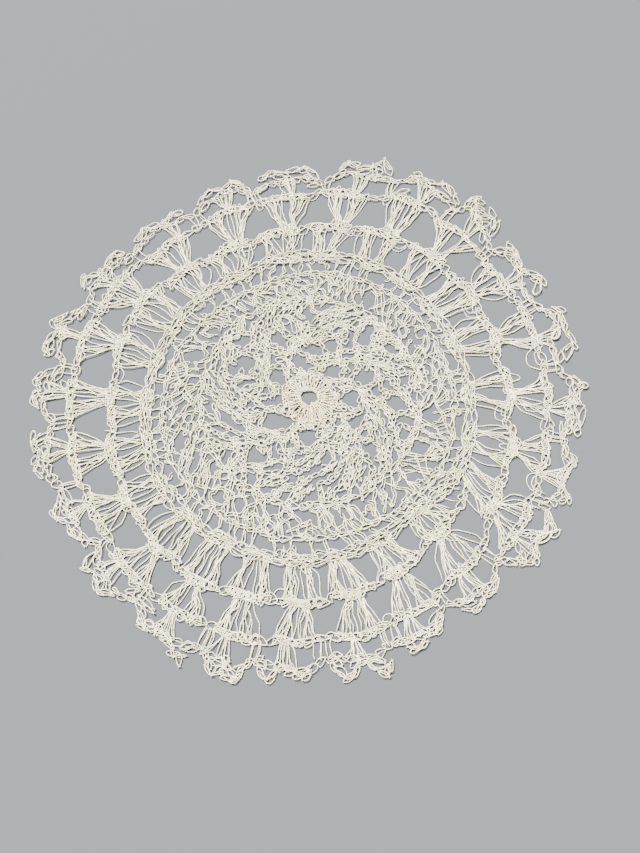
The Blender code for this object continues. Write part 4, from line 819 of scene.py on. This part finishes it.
def drawn_loop(piece, route, half=0.42 * MM):
    """Long loop of thread drawn out along a route, its two legs crossing on the way."""
    height = LOW + 0.3 * OVER
    spots = evenly(route, 1.3 * MM)
    ways = np.gradient(spots, axis=0)
    ways /= np.maximum(np.linalg.norm(ways, axis=1), 1e-9)[:, None]
    sides = np.stack((-ways[:, 1], ways[:, 0], np.zeros(len(ways))), axis=1)
    count = len(spots)
    turns = rand.choice((0.6, 1.0, 1.0, 1.7))
    phase = rand.uniform(-0.5, 0.5)
    rise = rand.uniform(0.0, 1.2)
    points = []
    for leg, order in ((1, range(count)), (-1, reversed(range(count)))):
        for index in order:
            turn = math.pi * (turns * (index / (count - 1)) + phase)
            swell = math.cos(turn)
            aside = leg * half * swell * (1.15 + near(0.35)) + near(0.12 * MM)
            spot = spots[index] + sides[index] * aside
            spot[2] = height + OVER * (rise + 0.55 * leg * math.sin(turn) + near(0.2))
            points.append(spot)
        end, outward = (spots[-1], ways[-1]) if leg > 0 else (spots[0], -ways[0])
        tip = end + outward * rand.uniform(0.25, 0.7) * MM
        tip[2] = height + OVER * rand.uniform(0.0, 1.8)
        points.append(tip)
    piece.thread(points)


def hang(piece, angle, top, bottom, half):
    """Loop of thread that sags inward from a ring."""
    deep = top - bottom
    points = []
    for aside, radius, up in (
        (1.2, top + 0.008, 1.0),
        (1.0, top - deep * 0.35, 0.6),
        (0.6, bottom + deep * 0.12, 0.2),
        (0.0, bottom, 0.2),
        (-0.6, bottom + deep * 0.12, 0.3),
        (-1.0, top - deep * 0.35, 0.8),
        (-1.2, top + 0.008, 1.6),
    ):
        points.append(at(angle + half * aside, radius, LOW + up * OVER))
    piece.thread(points)


def leaf(piece, start, end, half, height):
    """Long loop from one spot of the edge to the next."""
    up, side, size = heading(start, end)
    side = side * rand.choice((-1, 1))
    points = []
    for along, aside, rise in LEAF_STITCH:
        spot = start + up * size * (along + near(0.03)) + side * half * aside * rand.uniform(0.8, 1.2)
        spot[2] = height + rise * OVER
        points.append(spot)
    piece.thread(points)


def lone_threads(piece, outside):
    """The lone threads of the shells, or those of the mesh rounds."""
    for stray in STRAYS:
        if (stray[0][1] > SHELLS_FROM) == outside:
            piece.thread([at(*spot, LOW + rand.uniform(0, 1.5) * OVER) for spot in stray])


# Centre ring


def centre_ring(piece):
    """Ring of long stitches about the open eye, with a lumpy rim of loops."""
    for stitches, height, turn, rim in ((27, LOW, 0.0, 0.089), (24, LOW + 1.5 * OVER, 5.0, 0.084)):
        pitch = 360 / stitches
        points = []
        for index in range(stitches):
            angle = pitch * (index + near(0.18)) + turn
            tip = angle + near(3.5)
            inner = value_at(angle, EYE) + near(0.0015)
            outer = rim + near(0.007)
            wide = rand.uniform(0.26, 0.40) * pitch
            middle = (inner + outer) / 2
            for aside, radius, rise in (
                (-0.12, inner, 0.0),
                (-0.55, middle, 0.7),
                (-1.00, outer - 0.012, 0.5),
                (-0.55, outer + 0.001, 0.2),
                (0.50, outer + 0.001, 0.3),
                (1.00, outer - 0.012, 0.6),
                (0.55, middle, 0.9),
                (0.12, inner, 0.4),
            ):
                share = (radius - inner) / (outer - inner)
                spot = angle + (tip - angle) * share + aside * wide + near(0.5)
                points.append(at(spot, radius, height + (rise + near(0.25)) * OVER))
        piece.thread(points)
    for shift, up in ((0.004, 2.6), (0.008, 0.4), (0.014, 1.6), (0.022, 0.2)):
        height = LOW + up * OVER
        piece.thread([at(a, value_at(a, EYE) + shift + near(0.002), height) for a in range(0, 380, 13)])
    piece.thread([at(a, 0.074 + near(0.006), LOW + near(0.3) * OVER) for a in range(0, 380, 14)])
    chain(piece, [at(a, 0.095 + near(0.003)) for a in range(0, 361, 20)], 2.1 * MM, 0.60 * MM, loose=0.3)
    for index in range(22):
        angle = 360 * index / 22 + near(5)
        tip = at(angle + near(6), rand.uniform(0.096, 0.109))
        width = rand.uniform(0.35, 0.65) * MM
        tease(piece, at(angle, 0.080), tip, width, LOW + rand.uniform(0.4, 1.8) * OVER)
    for angle, tip, radius, wide in (
        (103, 104, 0.127, 0.6), (252, 256, 0.131, 0.9), (338, 340, 0.126, 0.6), (12, 8, 0.112, 0.6),
    ):
        tease(piece, at(angle, 0.088), at(tip, radius), wide * MM, LOW + OVER)


# Lines that run over the map, and keep clear of the windows


def mapped(angle, radius):
    """Spot on the map: the angle across it, and the logarithm of the radius up it."""
    return np.array((-angle, math.degrees(math.log(radius))))


def window_frames(windows, room):
    """Middle, axes and half sizes on the map of each window, with room for the thread."""
    frames = []
    for angle, radius, length, width, tilt in windows:
        tilt = math.radians(tilt)
        along = np.array((math.cos(tilt), math.sin(tilt)))
        across = np.array((-along[1], along[0]))
        frames.append((mapped(angle, radius), along, across, length, width, math.degrees(room / radius)))
    return frames


def within(here, window, room):
    """Whether a spot of the map lies in a window or in the room about it."""
    middle, along, across, length, width = window[:5]
    off = here - middle
    off[0] = (off[0] + 180) % 360 - 180
    return (off @ along / (length + room)) ** 2 + (off @ across / (width + room)) ** 2 < 1


def in_window(angle, radius, frames, room=0.4):
    """Whether a spot lies in a window, or in a share of the thread's room about it."""
    here = mapped(angle, radius)
    return any(within(here, window, window[-1] * room) for window in frames)


def unmapped(spot):
    """Angle and radius of a spot on the table."""
    return math.degrees(math.atan2(spot[1], spot[0])), math.hypot(spot[0], spot[1]) / RADIUS


def beside_window(spot, frames):
    """Whether a spot on the table lies close beside a big window."""
    angle, radius = unmapped(spot)
    here = mapped(angle, radius)
    reach = math.degrees(RUNG_REACH / radius)
    for window in frames:
        length, width = window[3:5]
        if length * width > BIG_WINDOW and within(here, window, reach):
            return True
    return False


def around(line, way, normal, frames, stretch):
    """A line on the map, bent round the windows in its way, as if they were longer."""
    for turn in range(3):
        for middle, along, across, length, width, keep in frames:
            off = line - middle
            off[:, 0] = (off[:, 0] + 180) % 360 - 180
            if length * width > BIG_WINDOW:
                off -= (off @ way)[:, None] * way * (1 - 1 / stretch)
            p = off @ along / (length + keep)
            q = off @ across / (width + keep)
            inside = p**2 + q**2 < 1
            if not inside.any():
                continue
            side = 1 if np.mean(off[inside] @ normal) > 0 else -1
            step_p = normal @ along / (length + keep)
            step_q = normal @ across / (width + keep)
            size = step_p**2 + step_q**2
            half = p * step_p + q * step_q
            root = np.sqrt(np.maximum(half**2 - size * (p**2 + q**2 - 1), 0))
            push = (side * root - half) / size
            line[inside] += push[inside, None] * normal
    return line


def line_across(base, reach, slant, waves, frames, stretch):
    """Uneven line over the map through a spot, bent round the windows, as points of the table."""
    every, amount = waves
    turn = math.radians(slant)
    way = np.array((math.cos(turn), math.sin(turn)))
    normal = np.array((-way[1], way[0]))
    line = base + reach[:, None] / way[1] * way
    bends = [near(amount) for spot in reach[::every]]
    line += normal * np.interp(reach, reach[::every], bends)[:, None]
    line = around(line, way, normal, frames, stretch)
    return [at(-u, math.exp(math.radians(v))) for u, v in line]


def clear_runs(line, laid, gap, frames, room, only_beside=False):
    """The stretches of a line that keep clear of the windows and of the lines laid before it."""
    spots = evenly(line, 0.7 * MM)
    clear = np.array([not in_window(*unmapped(spot), frames, room) for spot in spots])
    if only_beside:
        clear &= np.array([beside_window(spot, frames) for spot in spots])
    if laid:
        tree = KDTree(len(laid))
        for index, spot in enumerate(laid):
            tree.insert(spot, index)
        tree.balance()
        clear &= np.array([tree.find(spot)[2] > gap for spot in spots])
    laid += [tuple(spot) for spot in spots[clear]]
    runs = []
    start = None
    for index, open_here in enumerate(list(clear) + [False]):
        if open_here and start is None:
            start = index
        if not open_here and start is not None:
            if index - start > 3:
                runs.append(spots[max(0, start - 1): index + 1])
            start = None
    return runs


# Pinwheel


def pinwheel(piece):
    """Arms of chain that swirl out from the ring, with more chain across them."""
    frames = window_frames(WINDOWS, WINDOW_KEEP)
    starts = (0.104, 0.225, 0.150, 0.235)
    outer = mapped(0, 0.402)[1]
    for count, slope, first, gap, stretch, only_beside in (
        (76, 41, 0.104, 1.3 * MM, 1.6, False),
        (60, 130, 0.106, 2.0 * MM, 1.0, True),
    ):
        laid = []
        starts = (first,) + starts[1:]
        for index in sorted(range(count), key=lambda index: starts[index % len(starts)]):
            low = mapped(0, starts[index % len(starts)] * (1 + near(0.04)))[1]
            base = np.array((360 * (index + near(0.2)) / count, mapped(0, 0.1)[1]))
            reach = np.arange(low - base[1], outer - base[1], 2.2)
            line = line_across(base, reach, slope, (5, 1.1), frames, stretch)
            height = LOW + rand.uniform(0.6, 1.8) * OVER
            for route in clear_runs(line, laid, gap, frames, -0.2, only_beside):
                chain(piece, route, rand.uniform(2.1, 2.9) * MM, rand.uniform(0.64, 0.80) * MM, height, 0.18)
    # Short stitches cross the lines and tie them together.
    ties = 560
    for tie in range(ties):
        radius = 0.115 + 0.265 * rand.random()
        angle = rand.uniform(0, 360)
        slant = rand.uniform(-3, 9)
        size = rand.uniform(0.016, 0.028)
        end = (angle - slant * 0.25 / radius, radius + size)
        if in_window(angle, radius, frames) or in_window(*end, frames):
            continue
        post(piece, at(angle, radius), at(*end), rand.choice((1, 2)), 0.3 * MM, 0.5 * MM)
    # Loose loops that lie over the windows.
    tease(piece, at(102.3, 0.312), at(102.5, 0.262), 0.95 * MM)
    piece.thread(
        [
            at(106 + 3 * math.cos(k), 0.322 + 0.017 * math.sin(k), LOW + 0.2 * k * OVER)
            for k in np.arange(0, 9, 0.7)
        ]
    )


# Mesh rounds


def loops_across(piece, count, inner, outer, lean, frames, gap, stretch=1.0):
    """Drawn loops side by side between two rings, bent round the windows."""
    laid = []
    for index in sorted(range(count), key=lambda spot: spot * 7 % 10):
        angle = 360 * (index + near(0.3)) / count
        low = mapped(0, inner(angle) + near(0.009))[1]
        high = mapped(0, outer(angle) + near(0.009))[1]
        slant = lean(angle) + near(7)
        reach = np.arange(low, high + 0.01, 0.8) - (low + high) / 2
        middle = np.array((-angle, (low + high) / 2))
        line = line_across(middle, reach, slant, (4, 0.35), frames, stretch)
        for route in clear_runs(line, laid, gap, frames, 0.5):
            drawn_loop(piece, route)


def mesh_rounds(piece):
    """A leaning round of drawn loops about the pinwheel, an upright one outside it, and their rings."""
    leaning = window_frames(LEANING_WINDOWS, MESH_KEEP)
    upright = window_frames(UPRIGHT_WINDOWS, MESH_KEEP)
    route = [at(a, 0.398 + near(0.006)) for a in np.linspace(3, 363, 50)]
    chain(piece, route, 3.4 * MM, 0.7 * MM, loose=0.25)
    loops_across(
        piece, 180,
        lambda angle: 0.404,
        lambda angle: value_at(angle, RINGS, MESH_RING),
        lambda angle: value_at(angle, LEANS, LEANING),
        leaning, 1.05 * MM, 1.5,
    )
    loops_across(
        piece, 54,
        lambda angle: 0.414,
        lambda angle: value_at(angle, RINGS, MESH_RING),
        lambda angle: 170 - value_at(angle, LEANS, LEANING),
        leaning, 2.0 * MM,
    )
    loops_across(
        piece, 104,
        lambda angle: value_at(angle, RINGS, MESH_RING) + 0.006,
        lambda angle: value_at(angle, RINGS, SHELL_RING) - 0.014,
        lambda angle: value_at(angle, LEANS, UPRIGHT),
        upright, 1.3 * MM,
    )
    for ring, marks, shift, uneven, pitch, half, up, loose in (
        (MESH_RING, 50, 0.012, 0.004, 3.8, 0.70, 1.2, 0.2),
        (SHELL_RING, 44, -0.018, 0.005, 4.4, 0.85, 1.0, 0.2),
        (SHELL_RING, 44, 0.006, 0.005, 4.6, 0.80, 1.6, 0.2),
    ):
        angles = np.linspace(0, 360, marks)
        route = [at(a, value_at(a, RINGS, ring) + shift + near(uneven)) for a in angles]
        chain(piece, route, pitch * MM, half * MM, LOW + up * OVER, loose)
    for row in HANGING:
        hang(piece, *row)
    lone_threads(piece, False)


# Shells


def bunch(piece, feet, heads, outward):
    """Half of a shell: long loops that lean over each other, from inner feet and heads to outer."""
    for foot, head, legs, bow in BUNCH:
        if legs == 1 and rand.random() < 0.12:
            continue
        spot = feet[0] + (feet[1] - feet[0]) * (foot + near(0.12))
        reach = heads[0] + (heads[1] - heads[0]) * (head + near(0.10))
        spot = at(spot[0], spot[1] + near(0.004))
        reach = at(reach[0], reach[1] + near(0.007))
        if legs == 2:
            bend = strand(spot, reach, outward * bow * MM * rand.uniform(0.6, 1.3), 0)
            drawn_loop(piece, [spot, *bend, reach], rand.uniform(0.55, 0.90) * MM)
        else:
            post(piece, spot, reach, 1, 0.2 * MM, 0.3 * MM, bow * MM)


def two_bunches(piece, shell, right, middle, left, low):
    """The two bunches of a shell, from a wide or narrow foot."""
    top = shell["top_radius"] - 0.012
    for outward, foot, split, end in (
        (-1, right, shell["split_right"], shell["top_right"]),
        (1, left, shell["split_left"], shell["top_left"]),
    ):
        feet = (middle + 0.4 * outward, low), (foot + 0.2 * outward, low + 0.002)
        heads = (split - 0.1 * outward, top + 0.004), (end + 0.3 * outward, top)
        bunch(piece, np.array(feet), np.array(heads), outward)


def shell_top(piece, shell):
    """Heads of a shell's long stitches, and the loose loops that join them."""
    top = shell["top_radius"]
    route = [
        at(shell["top_right"] - 0.3, top - 0.008),
        at((shell["top_right"] + shell["split_right"]) / 2, top - 0.004),
        at(shell["split_right"], top + 0.001),
        at(shell["split_left"], top + 0.001),
        at((shell["top_left"] + shell["split_left"]) / 2, top - 0.004),
        at(shell["top_left"] + 0.3, top - 0.008),
    ]
    chain(piece, route, 2.5 * MM, 1.15 * MM, loose=0.3)
    coil(piece, route, 2.6 * MM, 1.0 * MM, LOW + 0.6 * OVER)


def links_between(piece, shells, ring, seam):
    """Chain from each shell to the next."""
    for index, shell in enumerate(shells):
        after = shells[(index + 1) % len(shells)]
        turn = 360 if index == len(shells) - 1 else 0
        route = seam
        if index != SEAM:
            route = [
                at(shell["top_left"] - 0.6, shell["top_radius"] - 0.008),
                at((shell["top_left"] + after["top_right"] + turn) / 2, LINKS[index][ring]),
                at(after["top_right"] + turn + 0.6, after["top_radius"] - 0.008),
            ]
        chain(piece, route, 3.5 * MM, 0.95 * MM, loose=0.25)


def sags(piece, inner):
    """Loops that sag from one round of shells."""
    for row in SAGS:
        if (row[1] < BETWEEN_SHELLS) == inner:
            hang(piece, *row)


def inner_shells(piece):
    """Shells on wide feet, each with a coil and a sagging thread along its foot."""
    shells = named(INNER_COLUMNS, INNER_SHELLS)
    sag = 0.028
    for shell in shells:
        right, left, low = shell["foot_right"], shell["foot_left"], shell["foot_radius"]
        middle = (right + left) / 2
        two_bunches(piece, shell, right, middle, left, low)
        foot = [at(right, low - 0.012), at(middle, low - 0.022), at(left, low - 0.010)]
        coil(piece, foot, 2.6 * MM, 0.95 * MM, LOW + 0.8 * OVER, 1.8)
        piece.thread(
            [
                at(left + 1.2, low - 0.004, LOW + OVER),
                at(left - 1.0, low - sag * 0.8 + near(0.003), LOW + 0.3 * OVER),
                at(middle, low - sag + near(0.004), LOW + rand.uniform(0, 1) * OVER),
                at(right + 1.0, low - sag * 0.8 + near(0.003), LOW + 0.3 * OVER),
                at(right - 1.2, low - 0.004, LOW + OVER),
            ]
        )
        shell_top(piece, shell)
    sags(piece, True)
    seam = [at(318.5, 0.656), at(322, 0.658), at(326, 0.655), at(330, 0.645)]
    links_between(piece, shells, INNER_LINK, seam)
    lone_threads(piece, True)


def outer_shells(piece):
    """Shells on narrow feet, each with a knot of two coils at its foot."""
    shells = named(OUTER_COLUMNS, OUTER_SHELLS)
    for shell in shells:
        foot, low = shell["foot"], shell["foot_radius"] + 0.004
        two_bunches(piece, shell, foot - 1.9, foot, foot + 1.9, low)
        knot = [at(foot - 2.6, low), at(foot, low - 0.004), at(foot + 2.6, low)]
        coil(piece, knot, 1.3 * MM, 1.1 * MM, LOW + OVER, 1.8)
        knot = [at(foot + 2.6, low - 0.016), at(foot, low - 0.014), at(foot - 2.6, low - 0.016)]
        coil(piece, knot, 1.5 * MM, 1.0 * MM, LOW + OVER, 1.4)
        shell_top(piece, shell)
    sags(piece, False)
    seam = [at(317.5, 0.812), at(320.5, 0.800), at(323.5, 0.775), at(327, 0.762)]
    links_between(piece, shells, OUTER_LINK, seam)
    chain(piece, [at(321.4, 0.866), at(319.4, 0.874), at(317.2, 0.868)], 3.0 * MM, 0.7 * MM)


# Picot edging


def leaves(piece, route, length, half):
    """Long loops end to end along a route."""
    height = LOW + 0.4 * OVER
    spots = evenly(route, length)
    for start, end in zip(spots, spots[1:]):
        stray = np.array((near(0.25 * MM), near(0.25 * MM), 0.0))
        wide = half * rand.uniform(0.75, 1.2)
        leaf(piece, start + stray, end + stray, wide, height + near(0.4 * OVER))


def rim_radius(angle):
    """Radius of the outer shells' heads and links at an angle."""
    spots = []
    for shell, link in zip(named(OUTER_COLUMNS, OUTER_SHELLS), LINKS):
        spots.append((shell["top_right"] % 360, shell["top_radius"]))
        spots.append((shell["top_left"] % 360, shell["top_radius"]))
        spots.append(((shell["top_left"] + 4.5) % 360, link[OUTER_LINK]))
    spots.sort()
    angles, radii = zip(*spots)
    return float(np.interp(angle % 360, angles, radii, period=360))


def picot_edging(piece):
    """Scalloped edge: fans of long stitches, arches of chain, and lobes of long loops."""
    for index, (scallop, arch) in enumerate(zip(SCALLOPS, ARCHES)):
        valley, low, first, first_top, dip, second, second_top, mid = scallop
        right_from, right_to, right_low, right_high, left_from, left_to, left_low, left_high = arch
        next_valley, next_low = SCALLOPS[(index + 1) % len(SCALLOPS)][:2]
        next_valley += 360 if index == len(SCALLOPS) - 1 else 0
        right_top = right_high + 0.014
        left_top = left_high + 0.014
        base = min(right_low, left_low) - 0.012
        for goal, reach in (
            (right_to - 0.4, right_top - 0.002),
            (right_to + 0.9, right_top + 0.006),
            (left_from - 0.9, left_top + 0.006),
            (left_from + 0.4, left_top - 0.002),
        ):
            foot = at(mid + (goal - mid) * 0.25 + near(0.3), base)
            head = at(goal + near(0.5), reach + near(0.008))
            post(piece, foot, head, rand.choice((2, 2, 3)), 0.25 * MM, 0.65 * MM, 0.6 * MM)
        arches = [
            at(valley + 0.2, low - 0.004),
            at(right_from - 0.2, (low + right_top) / 2 - 0.002),
            at((right_from + right_to) / 2, right_top),
            at(right_to + 0.3, right_top - 0.002),
            at((right_to + left_from) / 2, (right_top + left_top) / 2 - 0.006),
            at(left_from - 0.3, left_top - 0.002),
            at((left_from + left_to) / 2, left_top),
            at(left_to + 0.2, (next_low + left_top) / 2 - 0.002),
            at(next_valley - 0.2, next_low - 0.004),
        ]
        chain(piece, arches, 3.3 * MM, 0.80 * MM, loose=0.3)
        lobes = [
            at(valley + (first - valley) * 0.55, low + (first_top - low) * 0.66 - 0.010),
            at(first - 1.0, first_top - 0.014),
            at(first + 0.3, first_top - 0.007),
            at((first * 2 + second) / 3, dip - 0.008),
            at((first + second * 2) / 3, dip - 0.008),
            at(second - 0.3, second_top - 0.007),
            at(second + 1.0, second_top - 0.014),
            at(
                next_valley + (second - next_valley) * 0.55,
                next_low + (second_top - next_low) * 0.66 - 0.010,
            ),
        ]
        leaves(piece, lobes, 4.6 * MM, 0.42 * MM)
        rungs = rand.choice((2, 3, 3, 4))
        for rung in range(rungs):
            angle = valley + (rung - (rungs - 1) / 2) * 1.1 + near(0.3)
            foot = at(angle + near(0.5), rim_radius(angle) + near(0.006))
            post(piece, foot, at(angle, low - 0.004), rand.choice((1, 2)), 0.3 * MM, 0.3 * MM, 0.2 * MM)
    for angle, radius, to_angle, to_radius, half in PETALS:
        start, end = at(angle, radius), at(to_angle, to_radius)
        reach = (end - start) * 0.5 * MM / np.linalg.norm(end - start)
        for turn in range(2 if half > 0.75 else 1):
            stray = np.array((near(0.15 * MM), near(0.15 * MM), 0.0))
            wide = (half + 0.42) * MM * (1 - 0.15 * turn)
            height = LOW + rand.uniform(0.2, 1.4) * OVER
            leaf(piece, start - reach + stray, end + reach + stray, wide, height)


# Materials


def set_inputs(tree, node, inputs):
    """Set the sockets of a node that are constant, and link the others to what they come from."""
    for socket, value in inputs.items():
        if isinstance(value, bpy.types.NodeSocket):
            tree.links.new(value, node.inputs[socket])
        else:
            node.inputs[socket].default_value = value


def add_node(tree, kind, inputs, output, **settings):
    """One output of a new shader node."""
    node = tree.nodes.new("ShaderNode" + kind)
    for setting, value in settings.items():
        setattr(node, setting, value)
    set_inputs(tree, node, inputs)
    return node.outputs[output]


def product(tree, first, second):
    """First times second."""
    return add_node(tree, "Math", {0: first, 1: second}, "Value", operation="MULTIPLY")


def brought(tree, value, low, high, to_low, to_high):
    """Value brought from one range into another, and kept in it."""
    inputs = {"Value": value, "From Min": low, "From Max": high, "To Min": to_low, "To Max": to_high}
    return add_node(tree, "MapRange", inputs, "Result")


def noise(tree, scale, detail):
    """Even noise over the doily."""
    place = add_node(tree, "TexCoord", {}, "Object")
    return add_node(tree, "TexNoise", {"Vector": place, "Scale": scale, "Detail": detail}, "Fac")


PLIES = 3.0  # about the thread
TWIST = 1100.0  # plies that pass in a metre of thread


def cotton(name, light, dark):
    """Loosely twisted cotton thread: pale plies with shade between them."""
    material = bpy.data.materials.new(name)
    material.use_nodes = True
    tree = material.node_tree
    way = add_node(tree, "UVMap", {}, "UV", uv_map="thread")
    way = add_node(tree, "Mapping", {"Vector": way, "Scale": (TWIST, PLIES, 1.0)}, "Vector")
    along = add_node(tree, "SeparateXYZ", {"Vector": way}, "X")
    about = along.node.outputs["Y"]
    turn = add_node(tree, "Math", {0: along, 1: about}, "Value", operation="ADD")
    turn = product(tree, turn, 2 * math.pi)
    ply = add_node(tree, "Math", {0: turn}, "Value", operation="COSINE")

    tone = brought(tree, noise(tree, 60.0, 3.0), 0.35, 0.70, 0.0, 1.0)
    tones = {"Factor": tone, "A": (*light, 1.0), "B": (*dark, 1.0)}
    colour = add_node(tree, "Mix", tones, "Result", data_type="RGBA")
    shade = brought(tree, ply, -1.0, 0.2, 0.82, 1.0)
    # The sides of a thread get less light than its top, because other threads lie beside it.
    normal = add_node(tree, "NewGeometry", {}, "Normal")
    upward = add_node(tree, "SeparateXYZ", {"Vector": normal}, "Z")
    sides = brought(tree, upward, 0.20, 0.95, 0.18, 1.0)
    # One strand is a little duller than the next.
    strands = brought(tree, noise(tree, 650.0, 1.0), 0.38, 0.58, 0.66, 1.0)
    dimmed = product(tree, product(tree, shade, sides), strands)

    colour = add_node(tree, "VectorMath", {0: colour, "Scale": dimmed}, "Vector", operation="SCALE")
    relief = {"Height": ply, "Strength": 0.6, "Distance": 0.12 * MM}

    surface = {
        "Base Color": colour,
        "Normal": add_node(tree, "Bump", relief, "Normal"),
        "Roughness": 0.72,
        "Sheen Weight": 0.15,
        "Sheen Roughness": 0.5,
        "Specular IOR Level": 0.35,
    }
    set_inputs(tree, tree.nodes["Principled BSDF"], surface)
    return material


# Studio


def make_floor():
    """Plain floor, wide enough to fill every view."""
    material = bpy.data.materials.new("floor")
    material.use_nodes = True
    surface = {"Base Color": (0.058, 0.060, 0.063, 1.0), "Specular IOR Level": 0.15, "Roughness": 0.9}
    set_inputs(material.node_tree, material.node_tree.nodes["Principled BSDF"], surface)
    size = 12.0
    corners = [(-size, -size, 0), (size, -size, 0), (size, size, 0), (-size, size, 0)]
    mesh = bpy.data.meshes.new("floor")
    mesh.from_pydata(corners, [], [(0, 1, 2, 3)])
    mesh.materials.append(material)
    floor = bpy.data.objects.new("floor", mesh)
    bpy.context.collection.objects.link(floor)


def make_light(name, spot, spread, power):
    """Soft light that comes evenly from the direction of a spot."""
    data = bpy.data.lights.new(name, "SUN")
    data.angle = math.radians(spread)
    data.energy = power
    light = bpy.data.objects.new(name, data)
    light.location = spot
    flat = math.hypot(spot[0], spot[1])
    light.rotation_euler = (math.atan2(flat, spot[2]), 0, math.atan2(spot[1], spot[0]) + math.pi / 2)
    bpy.context.collection.objects.link(light)


def make_world():
    """Faint cool light from all round."""
    world = bpy.data.worlds.new("studio")
    world.use_nodes = True
    light = {"Color": (0.94, 0.96, 1.0, 1.0), "Strength": 0.72}
    set_inputs(world.node_tree, world.node_tree.nodes["Background"], light)
    bpy.context.scene.world = world


# The camera looks steeply down on the doily from its near side.
IMAGE_HEIGHT = 853  # pixels
FOCAL = 917  # pixels
FILM_HEIGHT = 36.0  # millimetres
TILT = math.radians(17.35)  # from straight down
DEPTH = 0.3163  # from the camera to the doily's middle, along its view
ASIDE = 0.00362
RAISED = 0.00949  # doily's middle above the middle of the view


def make_camera():
    """Camera at the photo's angle."""
    data = bpy.data.cameras.new("camera")
    data.sensor_width = FILM_HEIGHT
    data.lens = FOCAL * data.sensor_width / IMAGE_HEIGHT
    data.clip_start = 0.01
    camera = bpy.data.objects.new("camera", data)
    camera.location = (
        ASIDE,
        -DEPTH * math.sin(TILT) - RAISED * math.cos(TILT),
        DEPTH * math.cos(TILT) - RAISED * math.sin(TILT),
    )
    camera.rotation_euler = (TILT, 0, 0)
    bpy.context.collection.objects.link(camera)
    bpy.context.scene.camera = camera


make_camera()
make_floor()
make_world()
make_light("key", (-0.35, 0.45, 0.75), 19, 31.0)
make_light("fill", (0.6, -0.5, 0.6), 50, 3.3)

cream = cotton("cotton_cream", (1.0, 0.90, 0.57), (0.96, 0.80, 0.42))
ecru = cotton("cotton_thread", (0.97, 0.90, 0.60), (0.92, 0.83, 0.47))

for name, work, material in (
    ("centre_ring", centre_ring, cream),
    ("pinwheel", pinwheel, ecru),
    ("mesh_rounds", mesh_rounds, ecru),
    ("inner_shells", inner_shells, ecru),
    ("outer_shells", outer_shells, ecru),
    ("picot_edging", picot_edging, ecru),
):
    piece = Piece(name)
    work(piece)
    thing = piece.build(material)
    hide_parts("doily")
    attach(thing, "root")


bpy.context.view_layer.update()
